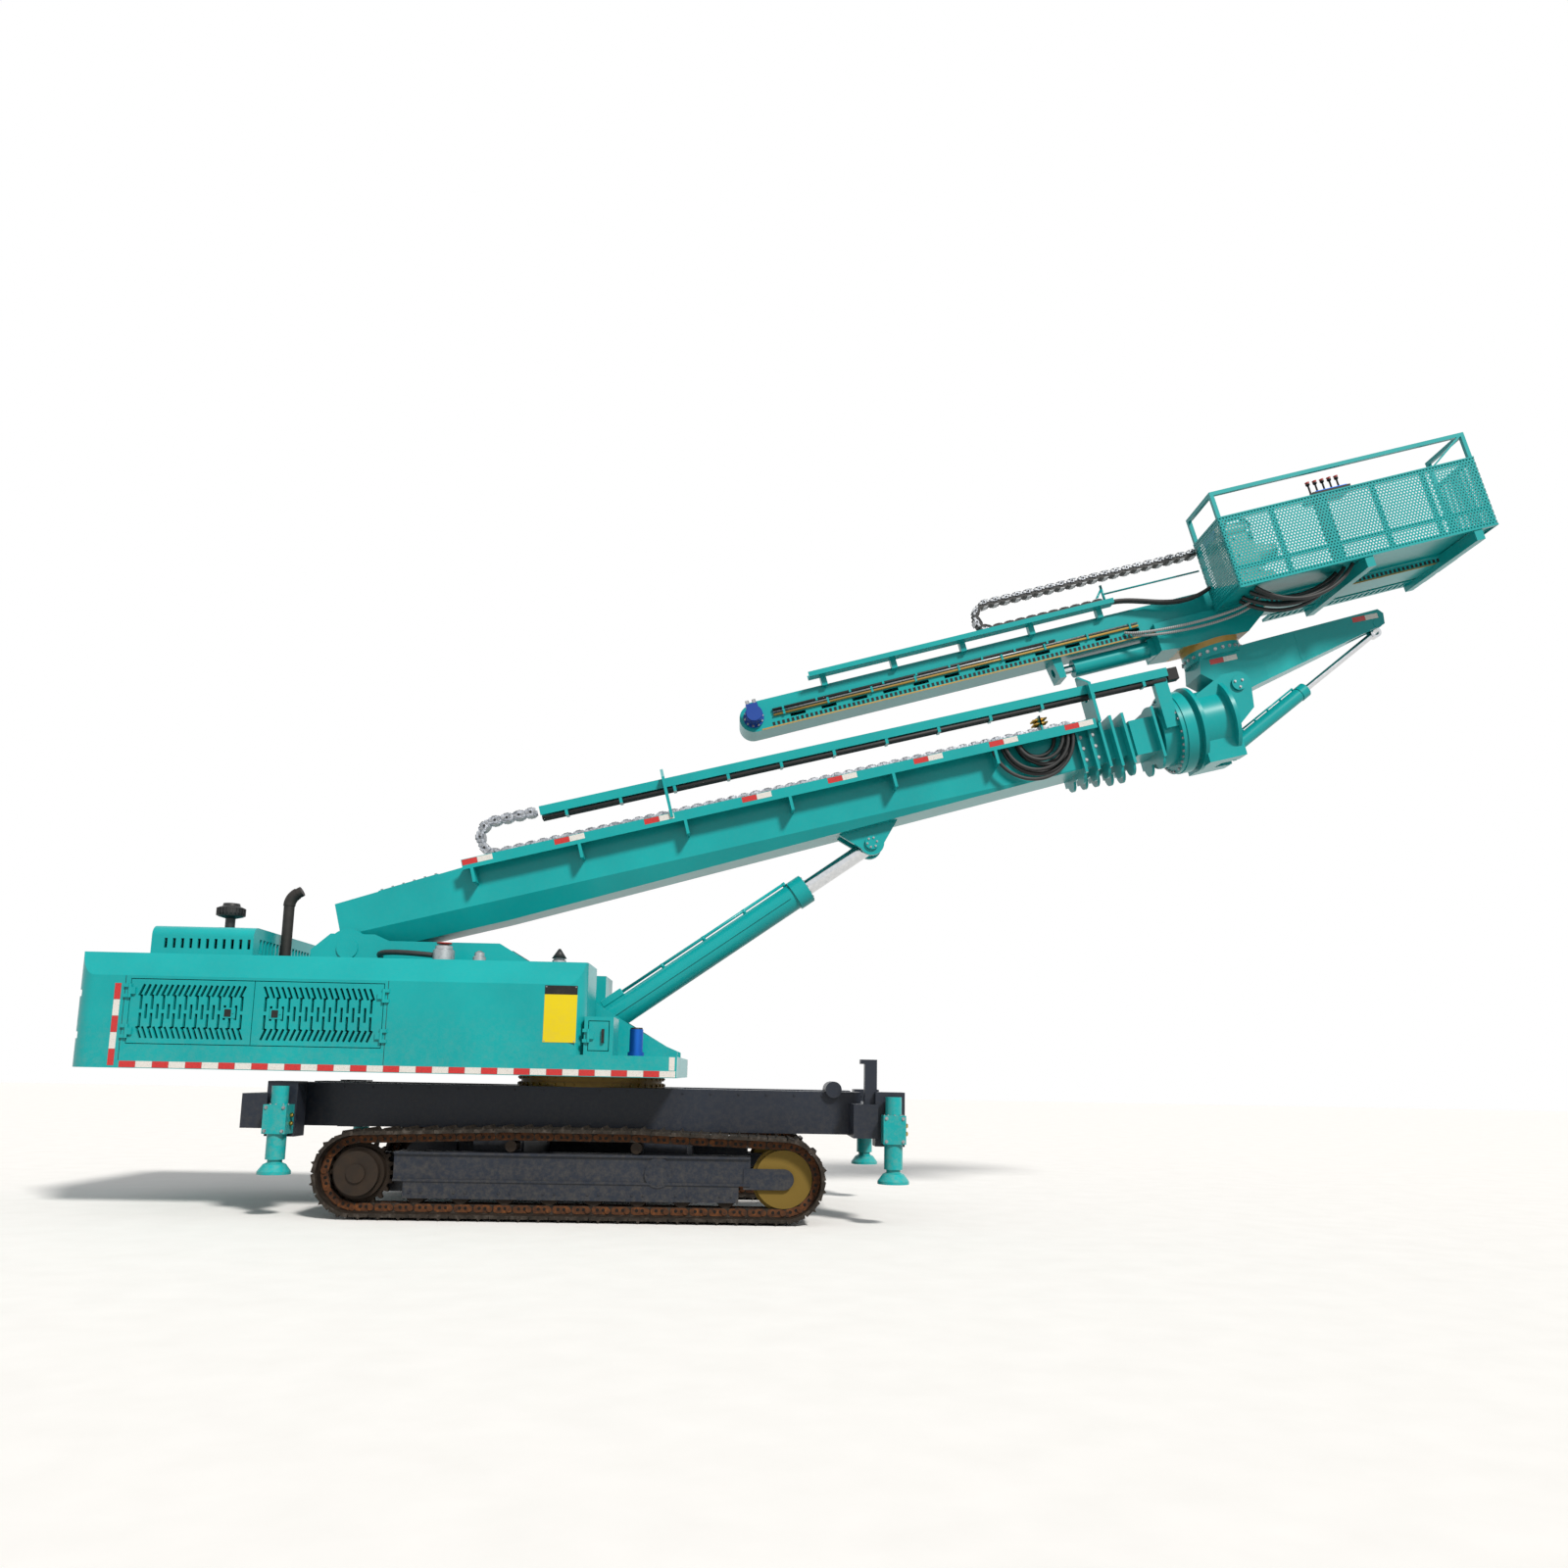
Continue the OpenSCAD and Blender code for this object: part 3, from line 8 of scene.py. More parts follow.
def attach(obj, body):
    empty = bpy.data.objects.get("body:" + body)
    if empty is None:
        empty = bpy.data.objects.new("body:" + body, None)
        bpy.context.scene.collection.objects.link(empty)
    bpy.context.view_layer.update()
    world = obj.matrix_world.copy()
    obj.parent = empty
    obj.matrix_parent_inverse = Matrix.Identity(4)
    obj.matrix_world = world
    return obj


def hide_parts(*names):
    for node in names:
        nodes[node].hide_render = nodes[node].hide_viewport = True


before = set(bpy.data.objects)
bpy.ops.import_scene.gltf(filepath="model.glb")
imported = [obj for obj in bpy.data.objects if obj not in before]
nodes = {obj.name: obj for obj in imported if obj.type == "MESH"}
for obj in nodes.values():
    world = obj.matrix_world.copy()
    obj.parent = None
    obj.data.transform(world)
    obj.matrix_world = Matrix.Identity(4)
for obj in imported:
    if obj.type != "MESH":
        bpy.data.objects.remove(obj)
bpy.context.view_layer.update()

scene = bpy.context.scene

# Camera and studio: a low camera to the right of the machine, tipped up to take in the raised mast,
# over a pale floor, with one wide soft lamp high on the right and a pale sky.
camera_place = Vector((1.40, -12.3, 1.305))
photo_size = 1600
focal_px = 1250
axis_px = (800, 896)
sensor_mm = 36
tip_up = math.atan(200 / focal_px)
turn_right = math.atan(46 / focal_px)
roll = math.radians(1.1)
look = Vector((math.sin(turn_right) * math.cos(tip_up), math.cos(turn_right) * math.cos(tip_up),
    math.sin(tip_up)))
level = Vector((math.cos(turn_right), -math.sin(turn_right), 0))
upright = level.cross(look)
right = math.cos(roll) * level + math.sin(roll) * upright
up = math.cos(roll) * upright - math.sin(roll) * level
camera_data = bpy.data.cameras.new("camera")
camera_data.sensor_width = sensor_mm
camera_data.lens = sensor_mm * focal_px / photo_size
camera_data.shift_y = (axis_px[1] - photo_size / 2) / photo_size
camera_data.clip_end = 200
camera = bpy.data.objects.new("camera", camera_data)
scene.collection.objects.link(camera)
camera.matrix_world = Matrix.Translation(camera_place) @ Matrix((right, up, -look)).transposed().to_4x4()
scene.camera = camera
scene.view_settings.view_transform = "Standard"


def linear(code):
    """An sRGB hex colour as linear RGBA."""
    parts = [int(code[i:i + 2], 16) / 255 for i in (1, 3, 5)]
    return [c / 12.92 if c <= 0.04045 else ((c + 0.055) / 1.055) ** 2.4 for c in parts] + [1]


def add_node(tree, kind, links={}, values={}, **settings):
    """Adds a node with its settings and socket values, and links its inputs to sockets of other nodes."""
    node = tree.nodes.new(kind)
    for name, value in settings.items():
        setattr(node, name, value)
    for name, value in values.items():
        node.inputs[name].default_value = value
    for name, source in links.items():
        tree.links.new(source, node.inputs[name])
    return node


def noise(tree, place, scale, detail, roughness=0.5):
    """A noise pattern's value, with its scale in cells a metre."""
    values = {"Scale": scale, "Detail": detail, "Roughness": roughness}
    return add_node(tree, "ShaderNodeTexNoise", {"Vector": place}, values).outputs["Fac"]


def two_tone(tree, share, dark, light):
    """The colour between two sRGB colours at a share."""
    colours = {6: linear(dark), 7: linear(light)}
    return add_node(tree, "ShaderNodeMix", {0: share}, colours, data_type="RGBA").outputs[2]


def tinted(tree, shader, share, dark, light):
    """Colours a shader between two sRGB colours by a pattern."""
    tree.links.new(two_tone(tree, share, dark, light), shader.inputs["Base Color"])


def new_material(name, metallic=0.0, roughness=0.5, **values):
    """A material with one shader, whose even values are set on its own sockets."""
    material = bpy.data.materials.new(name)
    material.use_nodes = True
    shader = material.node_tree.nodes["Principled BSDF"]
    shader.inputs["Metallic"].default_value = metallic
    shader.inputs["Roughness"].default_value = roughness
    for socket, value in values.items():
        shader.inputs[socket.replace("_", " ")].default_value = value
    place = add_node(material.node_tree, "ShaderNodeTexCoord").outputs["Object"]
    return material, material.node_tree, shader, place


def direct_ray(tree):
    """1 for what the camera sees straight, in a mirror or through glass, and 0 for soft light."""
    rays = add_node(tree, "ShaderNodeLightPath")
    seen = rays.outputs["Is Camera Ray"]
    for kind in ("Is Glossy Ray", "Is Transmission Ray"):
        both = {0: seen, 1: rays.outputs[kind]}
        seen = add_node(tree, "ShaderNodeMath", both, operation="MAXIMUM").outputs[0]
    return seen


world = bpy.data.worlds.new("sky")
scene.world = world
world.use_nodes = True
sky = world.node_tree
strength = add_node(sky, "ShaderNodeMix", {"Factor": direct_ray(sky)}, {"A": 0.38, "B": 1.0})
back = sky.nodes["Background"]
back.inputs["Color"].default_value = linear("#ffffff")
sky.links.new(strength.outputs["Result"], back.inputs["Strength"])

sun_data = bpy.data.lights.new("high_lamp", "SUN")
sun_data.energy = 3.1
sun_data.angle = math.radians(9)
sun_data.color = linear("#fffaf3")[:3]
sun = bpy.data.objects.new("high_lamp", sun_data)
scene.collection.objects.link(sun)
sun.rotation_euler = Vector((-0.50, 0.85, -0.90)).to_track_quat("-Z", "Y").to_euler()

floor_mesh = bmesh.new()
bmesh.ops.create_grid(floor_mesh, x_segments=1, y_segments=1, size=60)
floor_data = bpy.data.meshes.new("floor")
floor_mesh.to_mesh(floor_data)
floor_mesh.free()
floor = bpy.data.objects.new("floor", floor_data)
scene.collection.objects.link(floor)
pale, tree, shader, place = new_material("pale_concrete", roughness=0.9)
grain = noise(tree, place, 3.0, 6.0)
tint = two_tone(tree, grain, "#f4f4f3", "#ffffff")
shown = add_node(tree, "ShaderNodeMix", {0: direct_ray(tree), 7: tint}, {6: linear("#a9a8a4")},
    data_type="RGBA")
tree.links.new(shown.outputs[2], shader.inputs["Base Color"])
floor_data.materials.append(pale)

# Hydraulic hoses: rubber hoses with a wrapped cover, two of them in a woven sheath. They hang in loops
# under the tray at the boom's front end, sag under the basket's floor and between mast and basket, and
# run over the drill head and the roof.
boom_angle, mast_angle = math.radians(-14.5), math.radians(-1.5)
boom_frame = Matrix.Translation((-2.350, 0, 2.420)) @ Matrix.Rotation(boom_angle, 4, "Y")
on_cradle = Matrix.Translation((4.210, 0, 1.280)) @ Matrix.Rotation(mast_angle, 4, "Y")
mast_frame = boom_frame @ on_cradle


def relief(tree, shader, height, strength, distance):
    """Raises a shader's surface by a pattern."""
    values = {"Strength": strength, "Distance": distance}
    bump = add_node(tree, "ShaderNodeBump", {"Height": height}, values)
    tree.links.new(bump.outputs["Normal"], shader.inputs["Normal"])


# Wrapped hose rubber: black, half matt, with the marks of the cloth wrapping as faint cross bands. The
# real bands are 2 mm wide and are drawn 12 mm wide, so that they show.
hose_rubber, tree, shader, place = new_material("wrapped_hose_rubber", roughness=0.55)
values = {"Scale": 1 / 0.012 / 6.28, "Distortion": 1.5}
bands = add_node(tree, "ShaderNodeTexWave", {"Vector": place}, values, bands_direction="DIAGONAL")
smear = noise(tree, place, 9.0, 5.0)
tinted(tree, shader, smear, "#0d0e0f", "#2b2d2e")
relief(tree, shader, bands.outputs["Fac"], 0.25, 0.001)

# Woven sheath of the two drain hoses: pale grey cloth with a soiled weave, its 3 mm threads drawn
# 10 mm wide.
grey_sheath, tree, shader, place = new_material("grey_woven_sheath", roughness=0.8)
values = {"Scale": 1 / 0.010 / 6.28, "Distortion": 2.0}
weave = add_node(tree, "ShaderNodeTexWave", {"Vector": place}, values)
tinted(tree, shader, weave.outputs["Fac"], "#8d8f92", "#c4c5c6")


def hang_hose(name, line, hose_r, body, node=None, cover=hose_rubber):
    """One free hose along a line of points, from its fixed end to its far one."""
    data = bpy.data.curves.new(name, "CURVE")
    data.dimensions = "3D"
    data.bevel_depth = hose_r
    data.bevel_resolution = 3
    data.use_fill_caps = True
    spline = data.splines.new("POLY")
    spline.points.add(len(line) - 1)
    for point, place in zip(spline.points, line):
        point.co = (*place, 1)
    data.materials.append(cover)
    hose = bpy.data.objects.new(name, data)
    scene.collection.objects.link(hose)
    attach(hose, body)
    if node:
        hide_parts(node)


def arc_line(carrier, centre, radius, start, end, steps=32):
    """Points on a round arc in the X and Z of a frame, between two angles in degrees."""
    angles = [math.radians(start + (end - start) * i / steps) for i in range(steps + 1)]
    return [carrier @ (Vector(centre) + radius * Vector((math.cos(a), 0, math.sin(a)))) for a in angles]


def curve_line(carrier, ends, pulls, steps=32):
    """Points on a smooth line between two ends, drawn towards two pull points."""
    a, b, c, d = (carrier @ Vector(v) for v in (ends[0], *pulls, ends[1]))
    shares = [i / steps for i in range(steps + 1)]
    return [(1 - t) ** 3 * a + 3 * t * (1 - t) ** 2 * b + 3 * t * t * (1 - t) * c + t ** 3 * d
        for t in shares]


# Loops under the boom's tray: place along the boom, distance from the middle plane, radius of the loop.
# The first three are solids in the source too.
loops = [(7.130, 0.335, 0.260), (7.160, 0.380, 0.290), (7.100, 0.425, 0.235), (7.105, 0.335, 0.345),
    (7.080, 0.380, 0.370), (7.060, 0.425, 0.330), (7.020, 0.425, 0.420), (7.090, 0.335, 0.180)]
for i, (along, aside, radius) in enumerate(loops):
    line = arc_line(boom_frame, (along, -aside, 0.5357), radius, -180, 0)
    hang_hose(f"boom_hose_{i + 1}", line, 0.019, "boom", "boom_hoses" if i < 3 else None)

# Hoses under the basket: rear end and front end along the mast, distance from the middle plane, sag.
# The first four are solids in the source too.
sags = [(5.350, 6.380, 0.470, 0.150), (5.300, 6.380, 0.530, 0.190), (5.380, 6.300, 0.590, 0.130),
    (5.330, 6.350, 0.650, 0.170), (5.320, 6.360, 0.415, 0.210), (5.360, 6.330, 0.710, 0.200),
    (5.340, 6.390, 0.770, 0.230)]
for i, (rear, front, aside, sag) in enumerate(sags):
    half = (front - rear) / 2
    radius = (half * half + sag * sag) / (2 * sag)
    bend = math.degrees(math.asin(half / radius))
    height = 0.0697 - 0.020 * math.cos(math.radians(bend)) - sag + radius
    line = arc_line(mast_frame, (rear + half, -aside, height), radius, -90 - bend, -90 + bend)
    hang_hose(f"basket_hose_{i + 1}", line, 0.020, "mast", "basket_hoses" if i < 4 else None)

# Hoses from the tray's end on the mast to the basket's rear frame, and the pale drain hoses beside the
# cradle
for i, aside in enumerate((0.235, 0.280)):
    line = curve_line(mast_frame, ((4.082, -aside, 0.415), (5.112, -0.275 - 0.045 * i, 0.300)),
        ((4.420, -aside, 0.400), (4.700, -aside - 0.030, 0.130)))
    hang_hose(f"tray_hose_{i + 1}", line, 0.019, "mast")
for i, (start, low, end) in enumerate((((4.140, -0.198, 0.080), -0.100, (5.480, -0.440, 0.047)),
        ((4.210, -0.198, 0.040), -0.180, (5.560, -0.380, 0.047)))):
    line = curve_line(mast_frame, (start, end), ((4.300, -0.320, low * 0.4), (5.300, end[1], low)))
    hang_hose(f"drain_hose_{i + 1}", line, 0.014, "mast", cover=grey_sheath)

# Return hose on the roof, from the filter to the tower's side
line = curve_line(Matrix.Identity(4), ((-1.432, -0.820, 2.335), (-2.020, -0.424, 2.345)),
    ((-1.750, -0.860, 2.360), (-2.000, -0.760, 2.370)))
hang_hose("return_hose", line, 0.026, "superstructure")

# Hose loop over the drill head
line = arc_line(mast_frame, (5.665, -0.170, 0.870), 0.155, 180, 0)
hang_hose("drill_hose", line, 0.018, "drill_head")

# Chassis frame: two long box beams with cross-beams and jack housings, welded from plate and sprayed
# dark grey. Bolts hold the cover plates of the jack housings and stand in rows along the beams.


def vary_roughness(tree, shader, share, low, high):
    """Runs a shader's roughness from low to high with a pattern."""
    span = add_node(tree, "ShaderNodeMapRange", {0: share}, {3: low, 4: high})
    tree.links.new(span.outputs[0], shader.inputs["Roughness"])


def colour_over(tree, shader, share, under, code):
    """Colours a shader with a colour and, by a share, an sRGB colour over it."""
    both = add_node(tree, "ShaderNodeMix", {0: share, 6: under}, {7: linear(code)}, data_type="RGBA")
    tree.links.new(both.outputs[2], shader.inputs["Base Color"])


def painted_steel(name, light, dark, dust, dust_top, roughness):
    """Alkyd enamel sprayed on welded plate: glossy, with a fine orange peel, soft uneven patches a hand
    to an arm wide, and dust that thins out upwards. The peel's 3 mm grain is drawn 14 mm wide, so that
    it shows."""
    material, tree, shader, place = new_material(name, Specular_IOR_Level=0.25, Coat_Weight=0.1,
        Coat_Roughness=0.12)
    patches = noise(tree, place, 1 / 0.6, 8.0)
    tint = two_tone(tree, patches, dark, light)
    height = add_node(tree, "ShaderNodeSeparateXYZ", {0: place}).outputs["Z"]
    low = add_node(tree, "ShaderNodeMapRange", {0: height}, {1: 0.0, 2: dust_top, 3: 0.5, 4: 0.03})
    specks = noise(tree, place, 1 / 0.045, 10.0, 0.7)
    spread = add_node(tree, "ShaderNodeMapRange", {0: specks}, {1: 0.42, 2: 0.75})
    both = {0: spread.outputs[0], 1: low.outputs[0]}
    amount = add_node(tree, "ShaderNodeMath", both, operation="MULTIPLY").outputs[0]
    colour_over(tree, shader, amount, tint, dust)
    vary_roughness(tree, shader, amount, roughness, 0.8)
    peel = noise(tree, place, 1 / 0.014, 2.0)
    relief(tree, shader, peel, 0.06, 0.002)
    return material


def coat(material, *names):
    """Puts a material on CAD nodes."""
    for name in names:
        for slot in nodes[name].material_slots:
            slot.material = material


def add_piece(name, mesh, body, slot, *materials):
    """Ends a bmesh as a piece at the origin that rides on a body."""
    data = bpy.data.meshes.new(name)
    mesh.to_mesh(data)
    mesh.free()
    for material in materials:
        data.materials.append(material)
    piece = bpy.data.objects.new(name, data)
    scene.collection.objects.link(piece)
    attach(piece, body)
    return piece


def slab(mesh, low, high, carrier=Matrix.Identity(4), colour=0, bevel=0.0):
    """Adds a plate between two corners of a frame, with its edges bevelled where bevel is given."""
    low, high = Vector(low), Vector(high)
    size = Matrix.Diagonal((*(high - low), 1))
    made = bmesh.ops.create_cube(mesh, size=1,
        matrix=carrier @ Matrix.Translation((low + high) / 2) @ size)
    faces = {f for v in made["verts"] for f in v.link_faces}
    for face in faces:
        face.material_index = colour
    if bevel:
        edges = list({e for f in faces for e in f.edges})
        bmesh.ops.bevel(mesh, geom=edges, offset=bevel, affect="EDGES", segments=2, profile=0.5,
            material=-1)


def rod(mesh, start, end, radius, sides=16, colour=0, tip=None):
    """Adds a round bar between two points, or a cone where tip gives the radius at its end."""
    start, end = Vector(start), Vector(end)
    turn = (end - start).to_track_quat("Z", "Y").to_matrix().to_4x4()
    made = bmesh.ops.create_cone(mesh, cap_ends=True, segments=sides, radius1=radius,
        radius2=radius if tip is None else tip, depth=(end - start).length,
        matrix=Matrix.Translation((start + end) / 2) @ turn)
    for face in {f for v in made["verts"] for f in v.link_faces}:
        face.material_index = colour
        face.smooth = sides > 8 and len(face.verts) == 4


def bolt(mesh, place, out, width, colour=0):
    """Adds a washer and a hexagon head that stand out from a place."""
    place, out = Vector(place), Vector(out).normalized()
    rod(mesh, place - out * 0.002, place + out * width * 0.12, width * 0.72, 12, colour)
    rod(mesh, place, place + out * width * 0.62, width * 0.55, 6, colour)


dark_enamel = painted_steel("dark_enamel", "#2b323f", "#1a1f29", "#6b6457", 1.3, 0.42)
coat(dark_enamel, "chassis_frame")

# Zinc-plated steel bolts: pale grey metal, dulled in patches
bolt_zinc, tree, shader, place = new_material("zinc_plated_bolts", metallic=1.0)
dull = noise(tree, place, 60.0, 4.0)
tinted(tree, shader, dull, "#6d7073", "#b4b7ba")
vary_roughness(tree, shader, dull, 0.3, 0.6)

jack_x = 2.7
housing_y = 0.890
chassis_bolts = bmesh.new()
for front in (1, -1):
    for side in (1, -1):
        for across in (-0.07, 0.07):
            for height in (0.74, 1.10):
                spot = (front * jack_x + 0.1275 + across, side * housing_y, height)
                bolt(chassis_bolts, spot, (0, -side, 0), 0.024)
for along in range(-9, 10):
    for side in (-1, 1):
        bolt(chassis_bolts, (along * 0.26 - 0.115, side * 0.7, 1.115), (0, side, 0), 0.02)
add_piece("chassis_bolts", chassis_bolts, "undercarriage", "dark_paint", dark_enamel)

# Slewing ring: a machined steel ring between chassis and deck, brushed with ochre primer, with two rows
# of bolts round it.
ring_primer = painted_steel("ochre_primer", "#a9832c", "#6d5218", "#4a3c26", 1.4, 0.5)
coat(ring_primer, "slew_ring")


def around(count, radius, first=0.0):
    """Places round a circle, each as its two distances from the centre."""
    turns = [math.tau * k / count + first for k in range(count)]
    return [(radius * math.cos(turn), radius * math.sin(turn)) for turn in turns]


ring_bolts = bmesh.new()
for x, y in around(48, 0.705):
    for height, width in ((1.170, 0.022), (1.230, 0.016)):
        bolt(ring_bolts, (x, y, height), (x, y, 0), width)
add_piece("slew_ring_bolts", ring_bolts, "undercarriage", "ring_steel", ring_primer)

# Jacks: square bodies and round legs with dished feet, welded and sprayed turquoise as the
# superstructure is. Bolts hold the covers of the bodies, and two brass unions stand on each front.
turquoise = ("#10b4b5", "#0a979b", "#9a9c88", 1.9, 0.3)
turquoise_enamel = painted_steel("turquoise_enamel", *turquoise)
coat(turquoise_enamel, "jack_bodies", "jack_leg_front_right", "jack_leg_front_left",
    "jack_leg_rear_right", "jack_leg_rear_left")
brass, tree, shader, place = new_material("brass_unions", metallic=1.0, roughness=0.32)
stain = noise(tree, place, 45.0, 4.0)
tinted(tree, shader, stain, "#8a6a2a", "#d8b35c")
jack_y = 1.23
jack_trim = bmesh.new()
for front in (1, -1):
    for side in (1, -1):
        centre = Vector((front * jack_x + 0.125, side * jack_y, 0))
        for corner_x in (-0.075, 0.075):
            for corner_z in (0.735, 0.935):
                bolt(jack_trim, centre + Vector((corner_x, side * 0.1, corner_z)), (0, side, 0), 0.022)
        for x, y in around(8, 0.078):
            bolt(jack_trim, centre + Vector((x, y, 0.96)), (0, 0, 1), 0.014)
        for height in (0.80, 0.87):
            for start, end, radius, sides in ((0.098, 0.128, 0.016, 12), (0.110, 0.122, 0.021, 6)):
                a, b = (centre + Vector((x, 0, height)) for x in (start, end))
                rod(jack_trim, a, b, radius, sides, 1)
add_piece("jack_bolts", jack_trim, "undercarriage", "teal_paint", bolt_zinc, brass)

# Tracks: steel shoes bolted to two rows of forged links. The shoes are worn bare on their ribs, and the
# links have rusted brown. Each link has two nut windows, drawn as dark discs of painted shade, and a
# pin boss at its end.


def colour_ramp(tree, shader, share, stops):
    """Colours a shader through three stops of a position and an sRGB colour."""
    node = add_node(tree, "ShaderNodeValToRGB", {"Fac": share})
    elements = node.color_ramp.elements
    elements.new(0.5)
    for element, (position, code) in zip(elements, stops):
        element.position = position
        element.color = linear(code)
    tree.links.new(node.outputs["Color"], shader.inputs["Base Color"])


shoe_steel, tree, shader, place = new_material("worn_shoe_steel", metallic=0.55)
grime = noise(tree, place, 14.0, 9.0, 0.68)
colour_ramp(tree, shader, grime, ((0.35, "#191613"), (0.52, "#2f2821"), (0.72, "#57504a")))
vary_roughness(tree, shader, grime, 0.85, 0.42)
relief(tree, shader, grime, 0.35, 0.006)
coat(shoe_steel, "track_right", "track_left")

rusty_links, tree, shader, place = new_material("rusty_forged_steel", metallic=0.2, roughness=0.78)
rust = noise(tree, place, 22.0, 8.0, 0.65)
colour_ramp(tree, shader, rust, ((0.32, "#2e1b10"), (0.55, "#5f3718"), (0.74, "#8a5224")))
relief(tree, shader, rust, 0.4, 0.004)
# Painted shade: a near-black enamel for the discs that stand in the links' recessed nut windows
window_shade_paint = painted_steel("painted_window_shade", "#14110e", "#0b0908", "#2c2318", 0.9, 0.8)

# Path of the shoes: half the wheels' distance, height of their axles, radius of the path round them,
# and the rise and half length of the crown of the upper run
half_base = 1.855
track_r = 0.385
path_r = 0.341
crown = 0.045
crown_x = 0.55
shoe_count = 56
track_y = 1.1
run_angle = math.atan2(crown, half_base - crown_x)
slope_l = (crown + path_r * (1 - math.cos(run_angle))) / math.sin(run_angle)
flat_x = half_base + path_r * math.sin(run_angle) - slope_l * math.cos(run_angle)
arc_l = path_r * (math.pi - run_angle)
path_l = 2 * (half_base + arc_l + slope_l + flat_x)


def track_place(s):
    """The point of the track's path at the length s from the middle of the ground run, and its
    direction."""
    s %= path_l
    crest = (half_base + path_r * math.sin(run_angle), track_r + path_r * math.cos(run_angle))
    top = track_r + path_r + crown
    # Each stretch: length, then start and direction, or centre and first angle where it is an arc
    stretches = [(half_base, (0, track_r - path_r), 0, False),
        (arc_l, (half_base, track_r), -math.pi / 2, True),
        (slope_l, crest, math.pi - run_angle, False),
        (2 * flat_x, (flat_x, top), math.pi, False),
        (slope_l, (-flat_x, top), math.pi + run_angle, False),
        (arc_l, (-half_base, track_r), math.pi / 2 + run_angle, True),
        (half_base, (-half_base, track_r - path_r), 0, False)]
    for length, (x, z), angle, bent in stretches:
        if s <= length:
            break
        s -= length
    if bent:
        angle += s / path_r
        spot = Vector((x + path_r * math.cos(angle), 0, z + path_r * math.sin(angle)))
        return spot, angle + math.pi / 2
    return Vector((x + s * math.cos(angle), 0, z + s * math.sin(angle))), angle


link = bmesh.new()
bmesh.ops.create_cube(link, size=1, matrix=Matrix.Diagonal((0.150, 0.052, 0.066, 1)))
ends = [e for e in link.edges if abs(e.verts[0].co.x - e.verts[1].co.x) < 1e-4
    and abs(e.verts[0].co.z - e.verts[1].co.z) < 1e-4]
bmesh.ops.bevel(link, geom=ends, offset=0.022, affect="EDGES", segments=2, profile=0.5, material=-1)
# The nut windows: dark discs of painted shade on both faces of the link
for window_x in (-0.026, 0.026):
    for out in (-1, 1):
        rod(link, (window_x, out * 0.020, 0.004), (window_x, out * 0.0275, 0.004), 0.015, 8, 1)
for out in (-1, 1):
    rod(link, (0.062, out * 0.020, -0.002), (0.062, out * 0.034, -0.002), 0.026, 10)
link_data = bpy.data.meshes.new("link_pattern")
link.to_mesh(link_data)
link.free()
for side, name in ((-1, "right"), (1, "left")):
    chain = bmesh.new()
    for i in range(shoe_count):
        spot, angle = track_place((i + 0.5) * path_l / shoe_count)
        turn = Matrix.Rotation(-angle, 4, "Y")
        for row in (-0.082, 0.082):
            on_path = Matrix.Translation(spot + Vector((0, side * track_y + row, 0)))
            middle = on_path @ turn @ Matrix.Translation((0, 0, 0.052))
            before = len(chain.verts)
            chain.from_mesh(link_data)
            chain.verts.ensure_lookup_table()
            bmesh.ops.transform(chain, matrix=middle, verts=chain.verts[before:])
    add_piece(f"track_links_{name}", chain, "undercarriage", "track_steel", rusty_links, window_shade_paint)
bpy.data.meshes.remove(link_data)

# Side frames: welded box beams with channel lips, sprayed dark, with a round bolted
# cover over the drive's pipes.
coat(dark_enamel, "track_frame_right", "track_frame_left")
cap_x, cap_z = 0.750, 0.4155
roller_span = 2.7
frame_bolts = bmesh.new()
for side in (-1, 1):
    face_y = side * (track_y + 0.146)
    a, b = ((cap_x, face_y + side * out, cap_z) for out in (-0.006, 0.004))
    rod(frame_bolts, a, b, 0.118, 40)
    for x, z in around(8, 0.09):
        bolt(frame_bolts, (cap_x + x, face_y, cap_z + z), (0, side, 0), 0.018)
    for along in range(8):
        for leg in (-0.05, 0.05):
            spot = ((along / 7 - 0.5) * roller_span + leg, side * (track_y + 0.1405), 0.235)
            bolt(frame_bolts, spot, (0, side, 0), 0.018)
add_piece("side_frame_bolts", frame_bolts, "undercarriage", "dark_paint", dark_enamel)

# Rollers, idlers and sprockets: cast iron, rusted in patches, with ochre primer on the
# idler's disc.
roller_iron, tree, shader, place = new_material("rusted_cast_iron", metallic=0.4, roughness=0.7)
rust = noise(tree, place, 12.0, 8.0)
tint = two_tone(tree, rust, "#14110f", "#38291a")
ahead = add_node(tree, "ShaderNodeSeparateXYZ", {0: place}).outputs["X"]
idler = add_node(tree, "ShaderNodeMath", {0: ahead}, {1: 1.5}, operation="GREATER_THAN")
colour_over(tree, shader, idler.outputs[0], tint, "#7c6526")
relief(tree, shader, rust, 0.3, 0.003)
coat(roller_iron, "track_wheels_right", "track_wheels_left")

# Deck, tower, counterweight and housings: folded and welded plate under turquoise enamel. Red and white
# tape runs round the lower edge, where it warns traffic, and up the seam of the counterweight.
coat(turquoise_enamel, "deck_frame", "tower", "counterweight", "engine_housing", "engine_hood",
    "tank_right", "tank_left", "tool_box", "tool_box_door", "door_rear_right", "door_front_right",
    "door_rear_left", "door_front_left")


def reflective_tape(name, code, dark):
    """Prismatic tape: a film with a fine honeycomb under a clear skin. The 3 mm cells are drawn 10 mm
    wide."""
    material, tree, shader, place = new_material(name, roughness=0.28, Coat_Weight=0.4)
    cells = add_node(tree, "ShaderNodeTexVoronoi", {"Vector": place}, {"Scale": 1 / 0.010},
        feature="DISTANCE_TO_EDGE")
    edge = add_node(tree, "ShaderNodeMapRange", {0: cells.outputs["Distance"]}, {1: 0.0, 2: 0.12})
    tinted(tree, shader, edge.outputs[0], dark, code)
    return material


